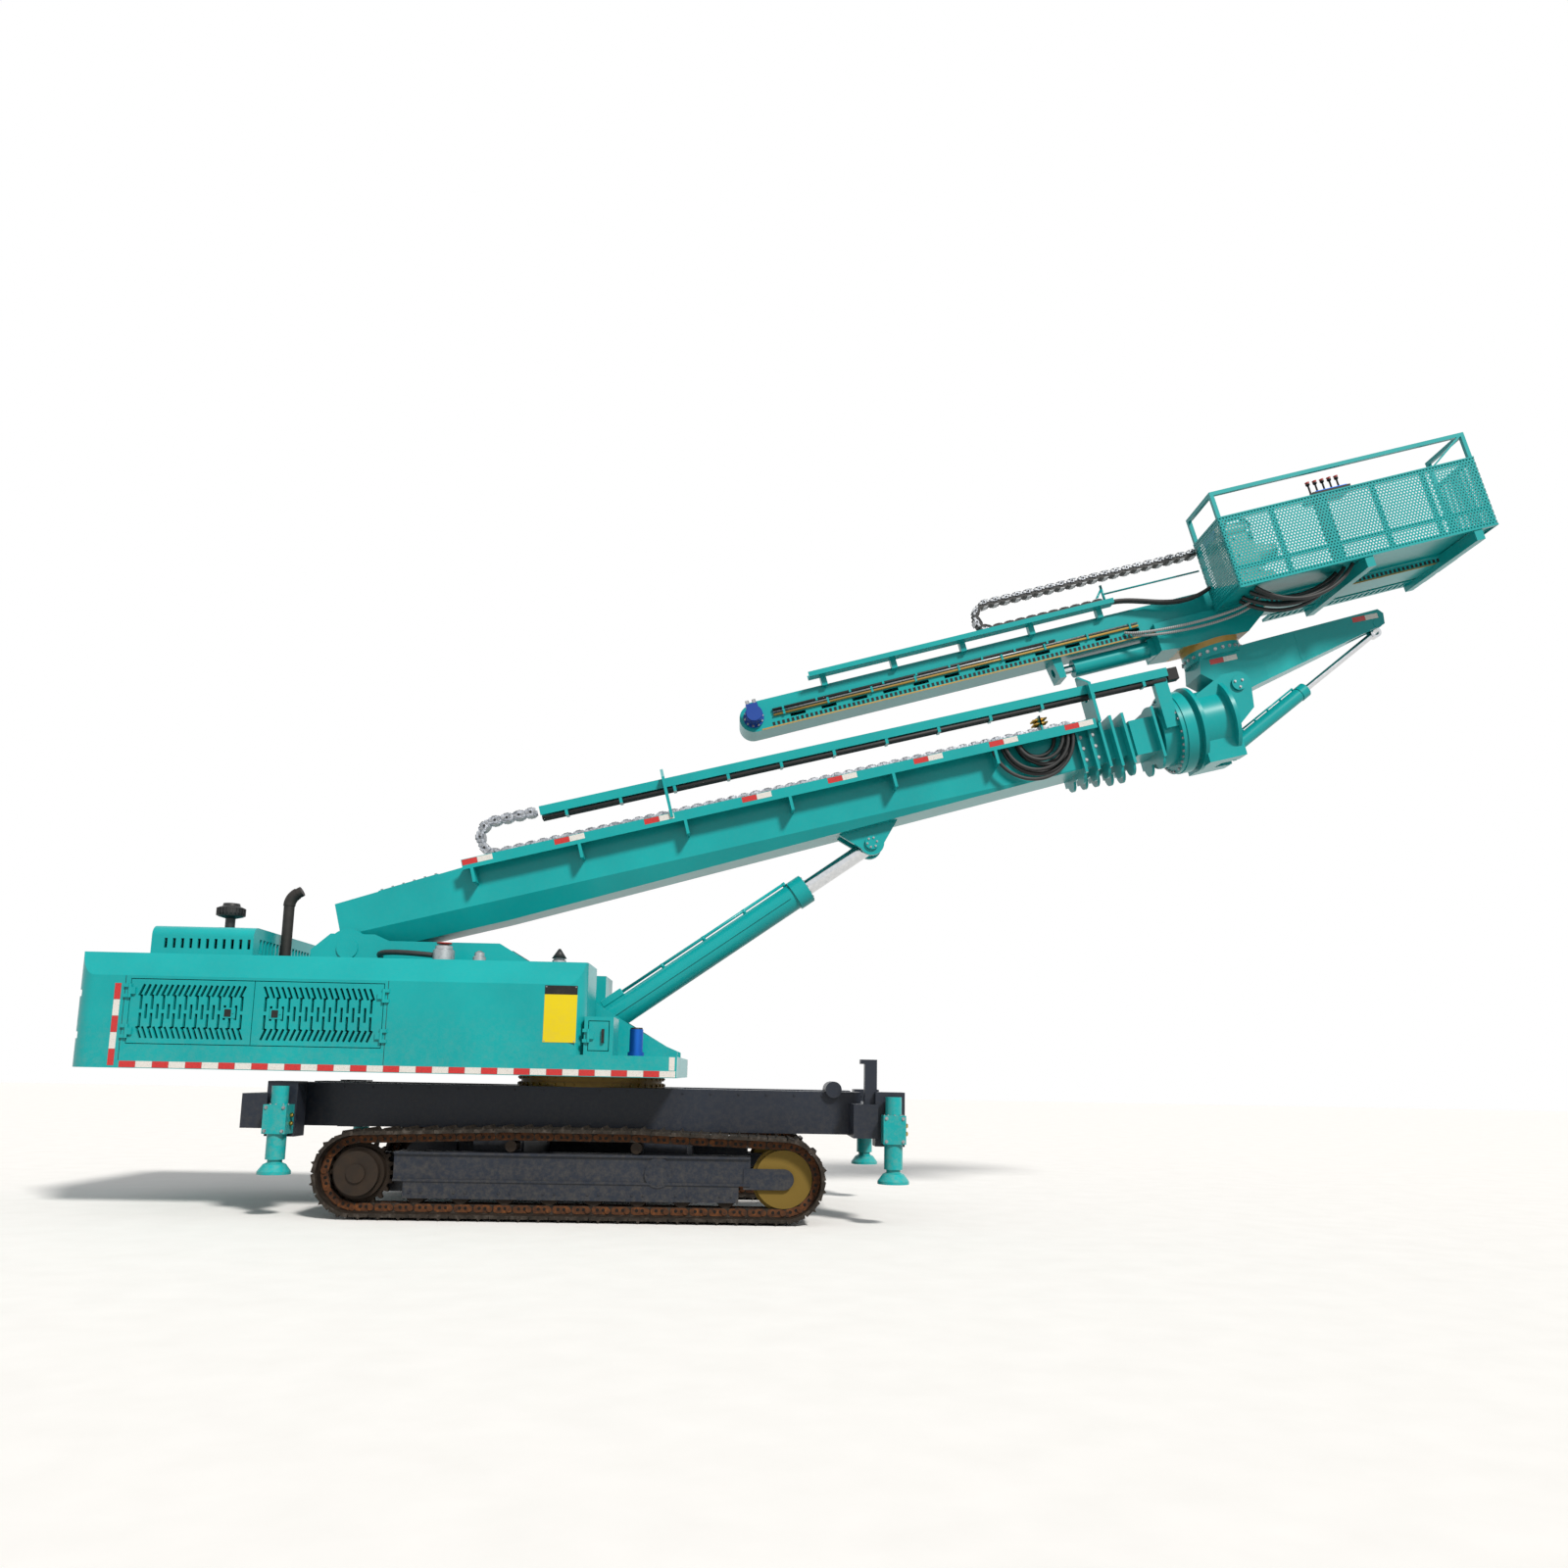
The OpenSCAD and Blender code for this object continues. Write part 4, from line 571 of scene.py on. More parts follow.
tape_red = reflective_tape("red_reflective_tape", "#d6201c", "#a01512")
tape_white = reflective_tape("white_reflective_tape", "#ece9e4", "#c9c6c0")
tape_t = 0.0015
tape_w = 0.055
house_y = 1.240


def tape_run(mesh, start, along, up, length, width, first=0, piece=0.145):
    """Lays pieces of red and white tape in turn from start, on the plane of along and up."""
    start, along, up = Vector(start), Vector(along).normalized(), Vector(up).normalized()
    carrier = Matrix.Translation(start) @ Matrix((along, up, along.cross(up))).transposed().to_4x4()
    count = max(1, round(length / piece))
    step = length / count
    for i in range(count):
        low, high = (i * step + 0.001, 0, -0.0005), ((i + 1) * step - 0.001, width, tape_t)
        slab(mesh, low, high, carrier, (i + first) % 2)


house_tape = bmesh.new()
tape_run(house_tape, (-3.985, -house_y, 1.256), (1, 0, 0), (0, 0, 1), 4.86, tape_w)
tape_run(house_tape, (0.875, house_y, 1.256), (-1, 0, 0), (0, 0, 1), 4.86, tape_w)
tape_run(house_tape, (-4.030, -house_y, 1.270), (0, 0, 1), (-1, 0, 0), 0.72, tape_w)
tape_run(house_tape, (-4.085, house_y, 1.270), (0, 0, 1), (1, 0, 0), 0.72, tape_w)
tape_run(house_tape, (-4.450, 0.75, 1.30), (0, -1, 0), (0, 0, 1), 1.5, tape_w)
for side in (-1, 1):
    start = (0.840 - side * 0.025, side * house_y, 1.315)
    tape_run(house_tape, start, (0, 0, 1), (side, 0, 0), 0.120, 0.050, 1, 0.12)
    start = (0.885, side * 1.210 + 0.020, 1.260)
    tape_run(house_tape, start, (0, 0, 1), (0, -1, 0), 0.170, 0.040, 1, 0.17)
add_piece("house_tape", house_tape, "superstructure", None, tape_red, tape_white)
black_enamel = painted_steel("black_enamel", "#1b1c1d", "#101112", "#6a6458", 2.6, 0.4)
house_seams = bmesh.new()
for side in (-1, 1):
    for along in (-3.998, -1.702):
        edge = sorted((side * (house_y - 0.0005), side * (house_y + 0.0006)))
        slab(house_seams, (along, edge[0], 1.316), (along + 0.005, edge[1], 2.060))
add_piece("house_seams", house_seams, "superstructure", "black_metal", black_enamel)

# Placard: a blank aluminium plate on the right-hand tank, sprayed yellow with
# a black band, on four rivets.
placard_yellow = painted_steel("yellow_enamel", "#f2dc1c", "#e2c812", "#b5a878", 2.2, 0.35)
placard = bmesh.new()
slab(placard, (-0.313, -house_y - 0.0035, 1.545), (-0.022, -house_y, 1.970))
slab(placard, (-0.313, -house_y - 0.0037, 1.970), (-0.022, -house_y, 2.050), colour=1)
for corner_x in (-0.300, -0.035):
    for corner_z in (1.558, 2.038):
        a, b = ((corner_x, -house_y - out, corner_z) for out in (0.002, 0.0065))
        rod(placard, a, b, 0.006, 10, 2)
add_piece("placard", placard, "superstructure", "teal_paint", placard_yellow, black_enamel, bolt_zinc)

# Door latches: pressed steel cups with a paddle, let into both doors where they meet, and a bar
# handle on the small door of the tool box.
cup_half = 0.055
for side, label in ((1, "right"), (-1, "left")):
    for name, x in (("rear", -3.075), ("front", -2.665)):
        latch = bmesh.new()
        face = -side * house_y
        out = -side * 0.004
        cup, paddle = sorted((face, face + out)), sorted((face, face + 2 * out))
        slab(latch, (x - cup_half, cup[0], 1.70), (x + cup_half, cup[1], 1.79), bevel=0.001)
        slab(latch, (x - 0.040, paddle[0], 1.712), (x + 0.018, paddle[1], 1.778), colour=1, bevel=0.002)
        bolt(latch, (x + 0.036, face + out, 1.745), (0, -side, 0), 0.012)
        add_piece(f"latch_{name}_{label}", latch, f"door_{name}_{label}", "teal_paint",
            turquoise_enamel, black_enamel)
handle = bmesh.new()
slab(handle, (0.207, -1.266, 1.548), (0.233, -1.261, 1.672), bevel=0.002)
add_piece("tool_door_handle", handle, "tool_door", "black_metal", black_enamel)

# Engine, air cleaner and exhaust: a grey cast block behind the doors, a moulded black pre-cleaner bowl
# and a black heat-proof pipe. Fins stand round the pre-cleaner's bowl.
engine_iron, tree, shader, place = new_material("grey_cast_iron", metallic=0.3, roughness=0.7)
sand = noise(tree, place, 1 / 0.02, 6.0)
tinted(tree, shader, sand, "#2c2d2e", "#5b5d5f")
relief(tree, shader, sand, 0.3, 0.002)
coat(engine_iron, "engine_block")

moulded_black, tree, shader, place = new_material("moulded_black_plastic", roughness=0.5)
grain = noise(tree, place, 1 / 0.006, 3.0)
tinted(tree, shader, grain, "#101112", "#242628")
relief(tree, shader, grain, 0.2, 0.001)
coat(moulded_black, "pre_cleaner")
cleaner_fins = bmesh.new()
for k in range(24):
    turn = Matrix.Rotation(math.tau * k / 24, 4, "Z")
    spot = Matrix.Translation((-3.480, -0.400, 2.550)) @ turn
    slab(cleaner_fins, (0.112, -0.004, 0.158), (0.132, 0.004, 0.228), spot)
add_piece("pre_cleaner_fins", cleaner_fins, "superstructure", "black_plastic", moulded_black)

exhaust_black, tree, shader, place = new_material("heat_proof_black_steel", metallic=0.2, roughness=0.68)
soot = noise(tree, place, 18.0, 7.0)
tinted(tree, shader, soot, "#131314", "#34302d")
coat(exhaust_black, "exhaust")

# Tank fittings: a cast return filter, a filler and a breather on the roof, and a painted
# filter can on the deck.
cast_aluminium, tree, shader, place = new_material("cast_aluminium", metallic=0.9, roughness=0.45)
skin = noise(tree, place, 40.0, 5.0)
tint = two_tone(tree, skin, "#8f9498", "#c3c7ca")
ahead = add_node(tree, "ShaderNodeSeparateXYZ", {0: place}).outputs["X"]
on_deck = add_node(tree, "ShaderNodeMath", {0: ahead}, {1: 0.2}, operation="GREATER_THAN")
colour_over(tree, shader, on_deck.outputs[0], tint, "#1f5fb8")
coat(cast_aluminium, "tank_fittings")
filter_x, roof_y = -1.330, -0.820
filter_trim = bmesh.new()
rod(filter_trim, (0.480, -0.780, 1.680), (0.480, -0.780, 1.705), 0.056, 24, 0)
for x, y in around(6, 0.105):
    bolt(filter_trim, (filter_x + x, roof_y + y, 2.282), (0, 0, 1), 0.014, 1)
rod(filter_trim, (filter_x, roof_y, 2.440), (filter_x, roof_y, 2.452), 0.070, 24, 2)
rod(filter_trim, (-0.260, roof_y, 2.330), (-0.260, roof_y, 2.420), 0.070, 24, 0, tip=0.010)
valve_red = painted_steel("red_enamel", "#b8322a", "#93241e", "#8a7c68", 2.6, 0.4)
add_piece("filter_caps", filter_trim, "superstructure", "fitting_metal", moulded_black, bolt_zinc,
    valve_red)

# Boom base: a folded box section with a chain tray along its right-hand edge, under turquoise enamel.
# Short pieces of red and white tape mark the tray, and bolts hold the wear pads behind the collar rings.
# A bolted cover plate closes the top of the root, where the passage of the inner section comes through.
coat(turquoise_enamel, "boom_base")
boom_x = boom_frame.to_3x3() @ Vector((1, 0, 0))
boom_z = boom_frame.to_3x3() @ Vector((0, 0, 1))
clevis_x, clevis_z = 5.225, -0.095


def on_boom(x, y, z):
    """A point of the boom's frame."""
    return boom_frame @ Vector((x, y, z))


boom_tape = bmesh.new()
for along in (1.235, 2.144, 3.039, 4.023, 4.897, 5.782, 6.567, 7.360):
    tape_run(boom_tape, on_boom(along, -0.470, 0.530), boom_x, boom_z, 0.30, tape_w, piece=0.15)
add_piece("boom_tape", boom_tape, "boom", None, tape_red, tape_white)
pad_bolts = bmesh.new()
for along in (7.545, 7.675):
    for side in (-1, 1):
        for height in (0.22, 0.34, 0.46):
            bolt(pad_bolts, on_boom(along, side * 0.300, height), (0, side, 0), 0.028)
for side in (-1, 1):
    for x, z in around(6, 0.05):
        bolt(pad_bolts, on_boom(clevis_x + x, side * 0.170, clevis_z + z), (0, side, 0), 0.016)
add_piece("boom_bolts", pad_bolts, "boom", "teal_paint", bolt_zinc)
cover_l, cover_y, cover_t = 0.600, 0.290, 0.010
root_slope = Matrix.Rotation(-math.atan2(80, 1270), 4, "Y")
on_slope = boom_frame @ Matrix.Translation((0.360, 0, 0.4971)) @ root_slope
root_cover = bmesh.new()
slab(root_cover, (0, -cover_y, -0.001), (cover_l, cover_y, cover_t), on_slope, 0, 0.002)
for k in range(6):
    for side in (-1, 1):
        spot = Vector((0.03 + k * (cover_l - 0.06) / 5, side * (cover_y - 0.025), cover_t))
        bolt(root_cover, on_slope @ spot, boom_z, 0.022, 1)
add_piece("boom_root_cover", root_cover, "boom", "teal_paint", turquoise_enamel, bolt_zinc)

# Drag chains: pressed and galvanised steel links on pins, which carry the hoses. The spangle is drawn
# 25 mm wide. Brass unions on a bracket join the hoses at the front end of the boom's chain.
chain_zinc, tree, shader, place = new_material("galvanised_steel", metallic=0.85)
spangle = add_node(tree, "ShaderNodeTexVoronoi", {"Vector": place}, {"Scale": 1 / 0.025})
tinted(tree, shader, spangle.outputs["Color"], "#5d636b", "#c9ced6")
vary_roughness(tree, shader, spangle.outputs["Distance"], 0.35, 0.6)
coat(chain_zinc, "boom_chain")
coat(hose_rubber, "mast_chain")


def chain_links(name, carrier, rear, low_l, up_l, radius, height, depth, sides, body, inner=-0.36):
    """Side plates, pins and cross bars of a drag chain over the route of its solid band. The plates
    reach inwards to a share of its depth."""
    reach = 0.36
    middle = depth * (inner + reach) / 2
    bend_l = math.pi * radius
    length = low_l + up_l + bend_l
    count = round(length / 0.120)
    half = length / count / 2
    mesh = bmesh.new()
    for i in range(count):
        s = (i + 0.5) * length / count
        if s < low_l:
            x, z, angle = rear + low_l - s, height - radius, math.pi
        elif s < low_l + bend_l:
            turn = 1.5 * math.pi - (s - low_l) / radius
            x, z = rear + radius * math.cos(turn), height + radius * math.sin(turn)
            angle = turn - math.pi / 2
        else:
            x, z, angle = rear + s - low_l - bend_l, height + radius, 0
        spot = carrier @ Matrix.Translation((x, 0, z)) @ Matrix.Rotation(-angle, 4, "Y")
        for y, out in ((sides[0], -1), (sides[1], 1)):
            for share, foot, top, low, high in ((0.92, inner, reach, 0, 0.006),
                    (0.30, inner - 0.1, 0.47, 0.004, 0.011)):
                edge = sorted((y + out * low, y + out * high))
                slab(mesh, (-half * share, edge[0], depth * foot), (half * share, edge[1], depth * top),
                    spot, 0, 0.002)
            for pin_x, end, colour in ((-half * 0.62, 0.012, 2), (half * 0.62, 0.012, 2), (0, 0.0135, 1)):
                a, b = (spot @ Vector((pin_x, y + out * lift, middle)) for lift in (0.004, end))
                rod(mesh, a, b, depth * 0.17, 8, colour)
        for side in (-1, 1):
            edge = sorted((side * depth * 0.5, side * (depth * 0.5 + 0.005)))
            slab(mesh, (-half * 0.4, sides[0] - 0.008, edge[0]), (half * 0.4, sides[1] + 0.008, edge[1]),
                spot, 2)
    add_piece(name, mesh, body, "chain_steel", chain_zinc, moulded_black, bolt_zinc)


chain_links("boom_chain_links", boom_frame, 1.603, 5.847, 0.430, 0.163, 0.757, 0.080, (-0.400, -0.300),
    "boom")
unions = bmesh.new()
slab(unions, (7.140, -0.440, 0.552), (7.156, -0.420, 0.745), boom_frame, 1)
slab(unions, (7.140, -0.440, 0.645), (7.156, -0.290, 0.745), boom_frame, 1)
for k in range(8):
    side, height = -0.402 + k % 4 * 0.032, 0.674 + k // 4 * 0.042
    rod(unions, on_boom(7.080, side, height), on_boom(7.230, side, height), 0.009, 12, 0)
    rod(unions, on_boom(7.110, side, height), on_boom(7.186, side, height), 0.015, 6, 0)
add_piece("boom_unions", unions, "boom", "chain_steel", brass, turquoise_enamel)

# Luffing cylinder: an enamelled barrel with a bolted gland, a clipped oil pipe and a hard-chromed rod.
# Chrome mirrors the sky, with faint patches where the seal has wiped it.
coat(turquoise_enamel, "luff_barrel", "tilt_barrel", "slide_barrel")
hard_chrome, tree, shader, place = new_material("hard_chrome", metallic=1.0)
wipe = noise(tree, place, 30.0, 6.0)
tinted(tree, shader, wipe, "#b9bcc0", "#e4e6e8")
vary_roughness(tree, shader, wipe, 0.06, 0.2)
coat(hard_chrome, "luff_rod", "tilt_rod", "slide_rod")


def gland(name, foot, eye, along, radius, count, body, barrel_r, pipe_r, pipe_run, valve=None):
    """Bolts on a barrel's front face, a clipped oil pipe on its top, and a valve where one is given."""
    foot, eye = Vector(foot), Vector(eye)
    way = (eye - foot).normalized()
    across = Vector((0, 1, 0))
    top = way.cross(across)
    mesh = bmesh.new()
    for y, z in around(count, radius):
        bolt(mesh, foot + way * along + across * y + top * z, way, radius * 0.16)
    first, last = pipe_run
    lift = top * (barrel_r + pipe_r * 1.75)
    rod(mesh, foot + way * first + lift, foot + way * last + lift, pipe_r, 16, 1)
    for share in (0.0, 0.25, 0.5, 0.75, 1.0):
        clip = foot + way * (first + (last - first) * share)
        rod(mesh, clip + top * (barrel_r - 0.002), clip + lift + top * pipe_r, pipe_r * 1.2, 12, 1)
    if valve:
        carrier = Matrix((way, across, top)).transposed().to_4x4()
        carrier.translation = foot
        slab(mesh, *valve, carrier, 1, 0.006)
    add_piece(name, mesh, body, "teal_paint", bolt_zinc, turquoise_enamel)


gland("luff_gland", (-0.230, 0, 1.540), on_boom(clevis_x, 0, clevis_z), 2.830, 0.125, 12, "luff_barrel",
    0.135, 0.016, (0.700, 2.660), ((0.480, -0.050, 0.130), (0.720, 0.050, 0.200)))
tilt_x, tilt_z = 9.165, 0.035
gland("tilt_gland", on_boom(tilt_x, 0, tilt_z), on_boom(11.070, 0, 0.930), 1.080, 0.060, 8,
    "tilt_barrel", 0.075, 0.010, (0.250, 0.970))

# Inner section, chain rail and rotary head: welded box and rings under turquoise enamel. Under the rail
# hangs a row of clamped hoses, and bolts hold the head's flange.
coat(turquoise_enamel, "boom_inner", "boom_rail", "rotary_head")
rail_hoses = bmesh.new()
for aside in (-0.378, -0.340, -0.302):
    rod(rail_hoses, on_boom(2.070, aside, 0.841), on_boom(8.550, aside, 0.841), 0.019, 12)
for k in range(12):
    along = 2.30 + k * 0.545
    slab(rail_hoses, (along, -0.400, 0.815), (along + 0.030, -0.281, 0.868), boom_frame, 1)
slab(rail_hoses, (8.570, -0.392, 0.820), (8.690, -0.288, 0.950), boom_frame, 2, 0.006)
add_piece("rail_hose_row", rail_hoses, "boom_inner", "hose_rubber", hose_rubber, turquoise_enamel,
    black_enamel)
head_bolts = bmesh.new()
for k, (y, z) in enumerate(around(36, 0.395)):
    if k % 9:
        bolt(head_bolts, on_boom(8.555, y, 0.345 + z), -boom_x, 0.024)
add_piece("head_flange_bolts", head_bolts, "boom_inner", "teal_paint", bolt_zinc)
pin_plates = bmesh.new()
for along, height, out, size in ((9.330, 0.660, 0.284, 0.075), (tilt_x, tilt_z, 0.145, 0.062)):
    for side in (-1, 1):
        inside, outside = side * out, side * (out + 0.010)
        rod(pin_plates, on_boom(along, inside, height), on_boom(along, outside, height), size, 24, 0)
        for x, z in around(3, size * 0.6, 0.5):
            bolt(pin_plates, on_boom(along + x, outside, height + z), (0, side, 0), 0.020, 1)
add_piece("head_pin_plates", pin_plates, "head", "teal_paint", turquoise_enamel, bolt_zinc)

# Arm and cradle: welded plate under turquoise enamel. The arm has tape at its root and tip and a welded
# plate on each side, which closes its hollow, and the cradle's underside was left in ochre primer.


def primed_below(name, limit):
    """Turquoise enamel over ochre primer, which shows below a height in the mast's own frame."""
    material = painted_steel(name, *turquoise)
    tree = material.node_tree
    shader = tree.nodes["Principled BSDF"]
    enamel = shader.inputs["Base Color"].links[0].from_socket
    place = add_node(tree, "ShaderNodeTexCoord").outputs["Object"]
    values = {1: mast_frame.to_translation(), 2: (0, boom_angle + mast_angle, 0)}
    local = add_node(tree, "ShaderNodeMapping", {0: place}, values, vector_type="TEXTURE")
    height = add_node(tree, "ShaderNodeSeparateXYZ", {0: local.outputs[0]}).outputs["Z"]
    ragged = noise(tree, place, 20.0, 4.0)
    edge = add_node(tree, "ShaderNodeMath", {0: ragged, 2: height}, {1: 0.012}, operation="MULTIPLY_ADD")
    below = add_node(tree, "ShaderNodeMath", {0: edge.outputs[0]}, {1: limit}, operation="LESS_THAN")
    ochre = two_tone(tree, ragged, "#a88440", "#c9a45a")
    both = add_node(tree, "ShaderNodeMix", {0: below.outputs[0], 6: enamel, 7: ochre}, data_type="RGBA")
    tree.links.new(both.outputs[2], shader.inputs["Base Color"])
    return material


coat(turquoise_enamel, "arm")
coat(primed_below("primed_cradle_enamel", -0.222), "cradle")
ochre_primer = painted_steel("mast_primer", "#c9a45a", "#a88440", "#8f8674", 2.0, 0.6)
arm_half, taper_x = 0.210, 9.700
arm_taper = math.atan2(0.110, 1.550)


def arm_side(x, lift):
    """Distance from the middle plane to a lift over the arm's tapered side."""
    return arm_half - (x - taper_x) * math.tan(arm_taper) + lift


def on_mast(x, y, z):
    """A point of the mast's frame."""
    return mast_frame @ Vector((x, y, z))


arm_tape = bmesh.new()
for side, first, root_x, tip_x in ((-1, 0, 9.130, 10.800), (1, 1, 9.430, 11.100)):
    lean = boom_frame.to_3x3() @ Vector((math.cos(arm_taper), -side * math.sin(arm_taper), 0))
    root = on_boom(root_x, side * arm_half, 0.930)
    tip = on_boom(tip_x, side * arm_side(tip_x, 0.001), 1.060)
    tape_run(arm_tape, root, -side * boom_x, boom_z, 0.30, tape_w, first, 0.15)
    tape_run(arm_tape, tip, -side * lean, boom_z, 0.30, tape_w, first, 0.15)
add_piece("arm_tape", arm_tape, "arm", None, tape_red, tape_white)
arm_cover = bmesh.new()
for side in (-1, 1):
    corners = []
    for lift in (-0.006, 0.0025):
        for x, z in ((10.108, 0.776), (10.665, 0.906), (10.665, 1.104), (10.108, 1.072)):
            corners.append(arm_cover.verts.new(on_boom(x, side * arm_side(x, lift), z)))
    bmesh.ops.convex_hull(arm_cover, input=corners)
bmesh.ops.recalc_face_normals(arm_cover, faces=arm_cover.faces[:])
add_piece("arm_side_cover", arm_cover, "arm", "teal_paint", turquoise_enamel)
turret_bolts = bmesh.new()
mast_up = mast_frame.to_3x3() @ Vector((0, 0, 1))
mast_ahead = mast_frame.to_3x3() @ Vector((1, 0, 0))
for x, y in around(24, 0.300):
    out = mast_frame.to_3x3() @ Vector((x, y, 0))
    bolt(turret_bolts, on_mast(5.050, 0, -0.345) + out, out, 0.026)
add_piece("turret_bolts", turret_bolts, "arm", "teal_paint", bolt_zinc)

# Mast: a folded box beam with guide rails, a chain tray and a toothed feed rack. Its lower edges were
# left in ochre primer. Steel pipes and a hose run along its right-hand side in clamps, and a light stand
# guides the chain.
coat(turquoise_enamel, "mast_beam", "mast_tray")
pipe_y = -0.196
mast_pipes = bmesh.new()
for row, (start, end, height, thick) in enumerate([(0.350, 4.300, 0.122, 0.012),
        (0.350, 4.300, 0.152, 0.010), (0.350, 3.400, 0.180, 0.013)]):
    rod(mast_pipes, on_mast(start, pipe_y, height), on_mast(end, pipe_y, height), thick, 10, row)
    for k in range(9):
        along = start + 0.1 + k * (end - start - 0.2) / 8
        slab(mast_pipes, (along, -0.212, height - 0.016), (along + 0.022, -0.179, height + 0.016),
            mast_frame, 3)
add_piece("mast_pipes", mast_pipes, "mast", "hose_rubber", ochre_primer, bolt_zinc, hose_rubber,
    turquoise_enamel)
feed_rack = bmesh.new()
for k in range(150):
    along = 0.320 + k * 0.050
    slab(feed_rack, (along, -0.183, 0.020), (along + 0.026, -0.179, 0.056), mast_frame)
for side in (-1, 1):
    edge = sorted((side * 0.179, side * 0.182))
    slab(feed_rack, (0.200, edge[0], 0), (7.890, edge[1], 0.014), mast_frame, 1)
add_piece("feed_rack_teeth", feed_rack, "mast", "black_metal", black_enamel, ochre_primer)
chain_stand = bmesh.new()
for start, end, thick in (((4.040, 0.438), (4.040, 0.640), 0.014),
        ((3.900, 0.438), (4.040, 0.600), 0.012), ((4.040, 0.540), (5.115, 0.540), 0.010)):
    a, b = (on_mast(along, pipe_y, height) for along, height in (start, end))
    rod(chain_stand, a, b, thick, 10, 0)
add_piece("mast_chain_stand", chain_stand, "mast", "teal_paint", turquoise_enamel)
chain_links("mast_chain_links", mast_frame, 2.775, 1.200, 2.332, 0.140, 0.573, 0.070, (-0.310, -0.210),
    "mast", 0.0)

# Feed motor: a cast gear motor in blue enamel, with cooling ribs, a bolted
# flange and two hose unions.
motor_blue = painted_steel("blue_enamel", "#2a57b5", "#1c3f8c", "#6d7480", 2.0, 0.35)
coat(motor_blue, "feed_motor")
motor_trim = bmesh.new()
axle_x, axle_z = 0.145, 0.145
for x, z in around(10, 0.090):
    bolt(motor_trim, on_mast(axle_x + x, -0.210, axle_z + z), (0, -1, 0), 0.018, 1)
for k in range(5):
    a = on_mast(axle_x, -0.235 - k * 0.026, axle_z)
    rod(motor_trim, a, a + Vector((0, -0.010, 0)), 0.088, 24, 0)
for along in (0.110, 0.180):
    rod(motor_trim, on_mast(along, -0.310, 0.255), on_mast(along, -0.310, 0.300), 0.020, 6, 1)
add_piece("feed_motor_trim", motor_trim, "mast", "motor_paint", motor_blue, bolt_zinc)

# Basket: a frame of square tube, closed on three sides by perforated sheet steel with staggered holes
# 17 mm wide, 34 mm apart, tacked to the tubes and sprayed turquoise.
coat(turquoise_enamel, "basket_frame")
hole_pitch = 0.034
hole_r = 0.0088
sheet_t = 0.003
sheet_h = 0.760


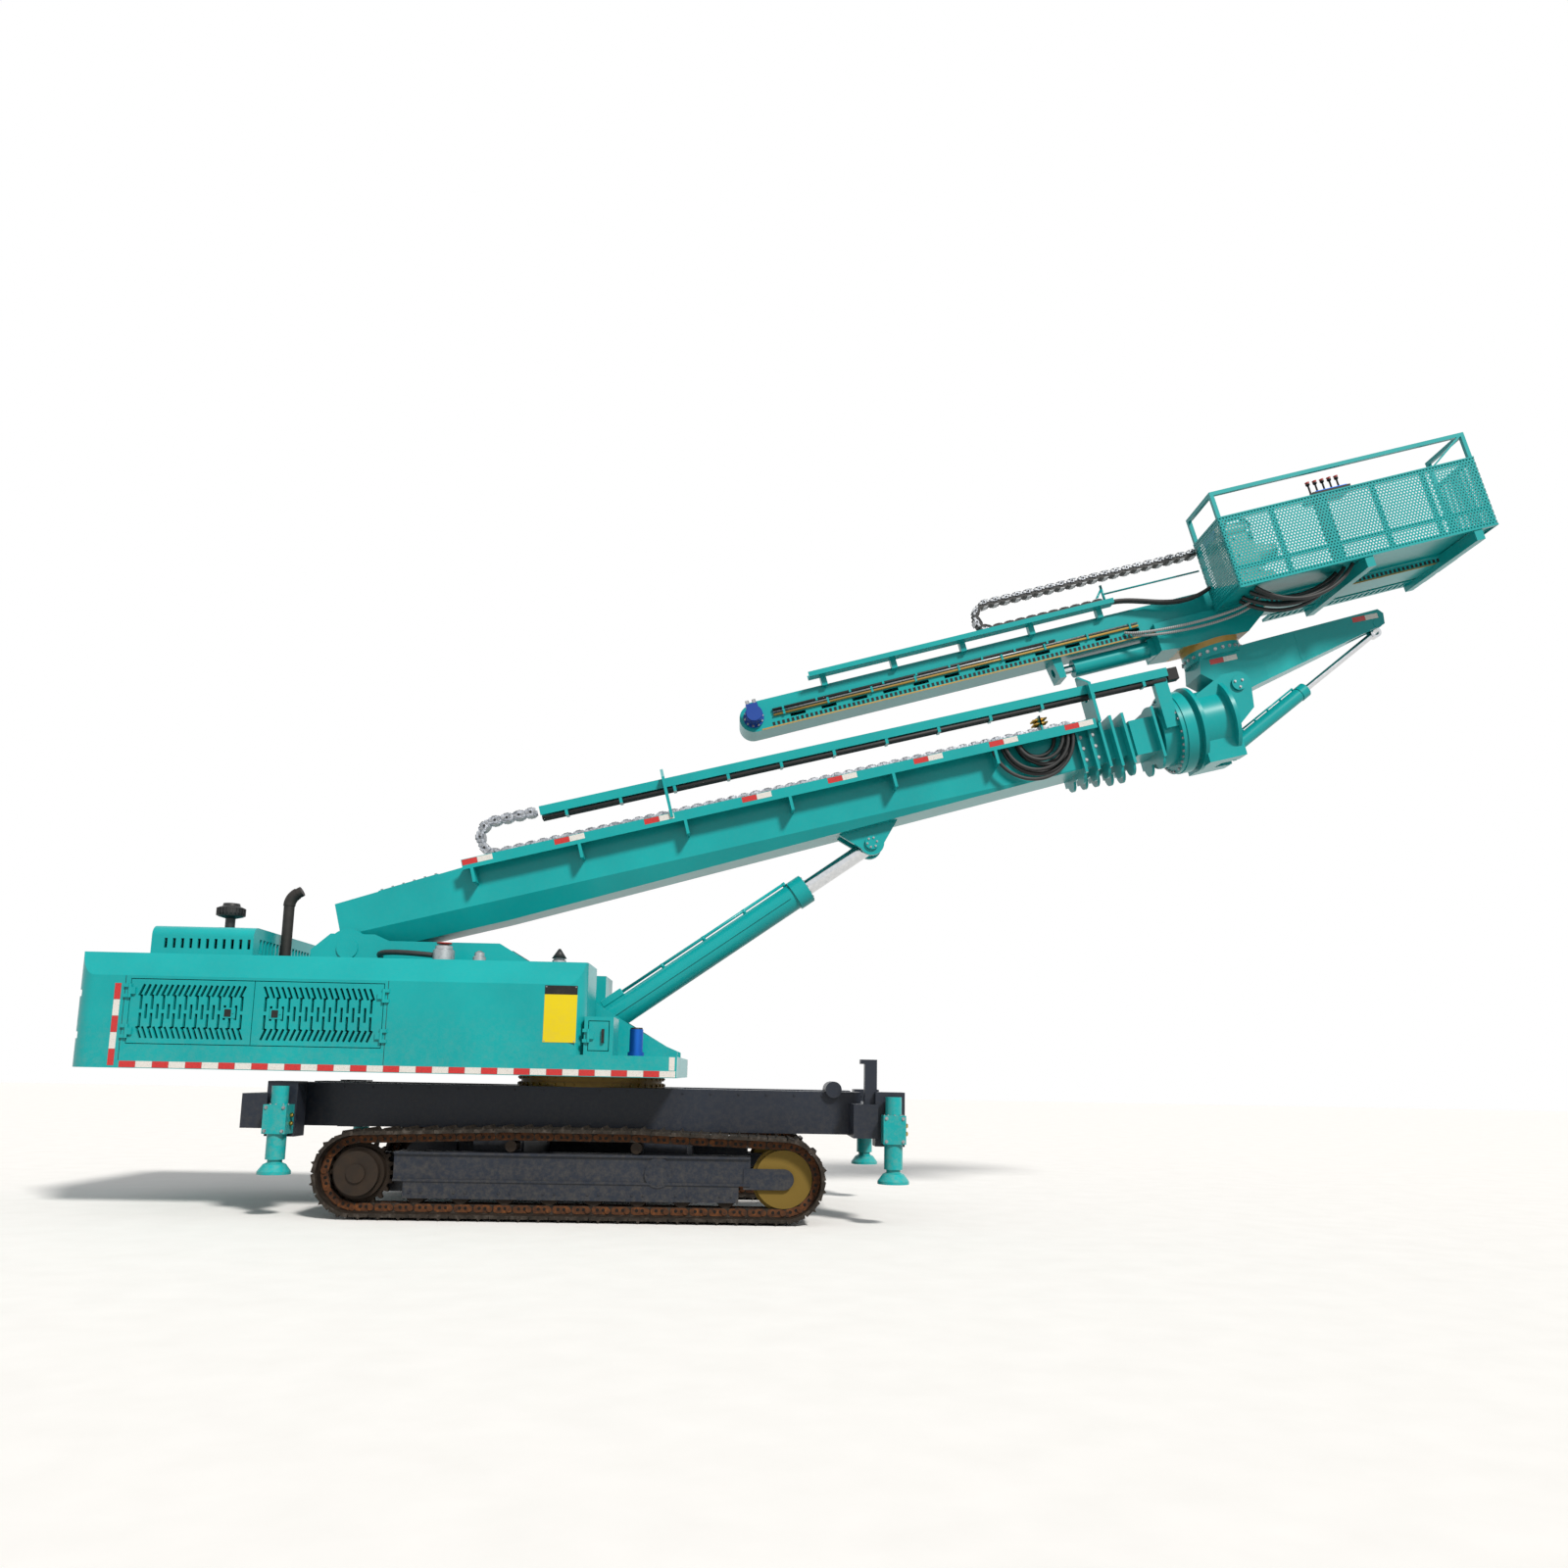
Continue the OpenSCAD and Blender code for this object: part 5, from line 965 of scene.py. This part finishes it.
def perforated_sheet(name, width, carrier):
    """A sheet in X and Z of a frame, from its origin, with holes through it."""
    mesh = bmesh.new()
    cell_r = hole_pitch / math.sqrt(3)
    row_step = hole_pitch * math.sqrt(3)

    def whole():
        return mesh.verts[:] + mesh.edges[:] + mesh.faces[:]

    bmesh.ops.create_circle(mesh, cap_ends=True, segments=6, radius=cell_r,
        matrix=Matrix.Rotation(math.pi / 2, 4, "X"))
    ring = bmesh.ops.inset_individual(mesh, faces=mesh.faces[:],
        thickness=(cell_r - hole_r) * math.cos(math.pi / 6))
    hole = [f for f in mesh.faces if f not in ring["faces"]]
    bmesh.ops.delete(mesh, geom=hole, context="FACES_ONLY")
    columns = math.ceil(width / hole_pitch) + 1
    rows = math.ceil(sheet_h / row_step) + 1
    bmesh.ops.spin(mesh, geom=whole(), angle=0, axis=(0, 0, 1), dvec=(hole_pitch, 0, 0), steps=columns,
        use_duplicate=True)
    offset = bmesh.ops.duplicate(mesh, geom=whole())["geom"]
    bmesh.ops.translate(mesh, verts=[v for v in offset if isinstance(v, bmesh.types.BMVert)],
        vec=(hole_pitch / 2, 0, row_step / 2))
    bmesh.ops.spin(mesh, geom=whole(), angle=0, axis=(0, 0, 1), dvec=(0, 0, row_step), steps=rows,
        use_duplicate=True)
    bmesh.ops.remove_doubles(mesh, verts=mesh.verts[:], dist=0.0005)
    for spot, out in (((0, 0, 0), (-1, 0, 0)), ((width, 0, 0), (1, 0, 0)), ((0, 0, 0), (0, 0, -1)),
            ((0, 0, sheet_h), (0, 0, 1))):
        bmesh.ops.bisect_plane(mesh, geom=whole(), plane_co=spot, plane_no=out, clear_outer=True)
    for low, high in ((0, 0.012), (sheet_h - 0.012, sheet_h)):
        slab(mesh, (0, -0.0045, low), (width, 0.0005, high))
    bmesh.ops.transform(mesh, matrix=carrier, verts=mesh.verts[:])
    piece = add_piece(name, mesh, "mast", "teal_paint", turquoise_enamel)
    thick = piece.modifiers.new("thickness", "SOLIDIFY")
    thick.thickness = sheet_t
    thick.offset = 0
    return piece


quarter = Matrix.Rotation(math.pi / 2, 4, "Z")
for name, width, along, turn in (("side", 2.780, 5.120, Matrix.Identity(4)),
        ("rear", 0.646, 5.114, quarter), ("front", 0.646, 7.906, quarter)):
    corner = mast_frame @ Matrix.Translation((along, -0.906, 0.050)) @ turn
    sheet = perforated_sheet(f"basket_{name}_sheet", width, corner)
    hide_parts("basket_panels")

# Control stand: a bent steel desk on a post, with a row of valve levers
# that end in turned knobs.
coat(black_enamel, "control_stand")
stand_trim = bmesh.new()
for k in range(5):
    foot = on_mast(6.400 + k * 0.080, -0.470, 0.950)
    rod(stand_trim, foot, foot + mast_up * 0.030, 0.020, 16, 0, tip=0.012)
    rod(stand_trim, foot + mast_up * 0.124, foot + mast_up * 0.160, 0.016, 16, 1, tip=0.024)
slab(stand_trim, (6.390, -0.585, 0.949), (6.740, -0.540, 0.958), mast_frame, 2, 0.002)
add_piece("stand_levers", stand_trim, "mast", "black_metal", hose_rubber, valve_red, cast_aluminium)

# Drill head: a gearbox with two hydraulic motors on a carriage, in grey
# enamel, with bolted covers.
grey_enamel = painted_steel("grey_enamel", "#c9c7bf", "#a9a79f", "#8f8674", 2.0, 0.38)
coat(grey_enamel, "drill_head")
drill_trim = bmesh.new()
for side in (-1, 1):
    for along in (5.470, 5.630, 5.790):
        for height in (0.42, 0.62, 0.82):
            bolt(drill_trim, on_mast(along, side * 0.150, height), (0, side, 0), 0.024)
    a, b = (on_mast(along, side * 0.085, 0.920) for along in (5.450, 5.425))
    rod(drill_trim, a, b, 0.060, 24, 1)
for y, z in around(12, 0.100):
    bolt(drill_trim, on_mast(5.950, y, 0.620 + z), mast_ahead, 0.018)
for along in (5.510, 5.820):
    rod(drill_trim, on_mast(along, -0.170, 0.780), on_mast(along, -0.170, 0.885), 0.024, 6, 0)
add_piece("drill_head_bolts", drill_trim, "drill_head", "grey_paint", bolt_zinc, motor_blue)
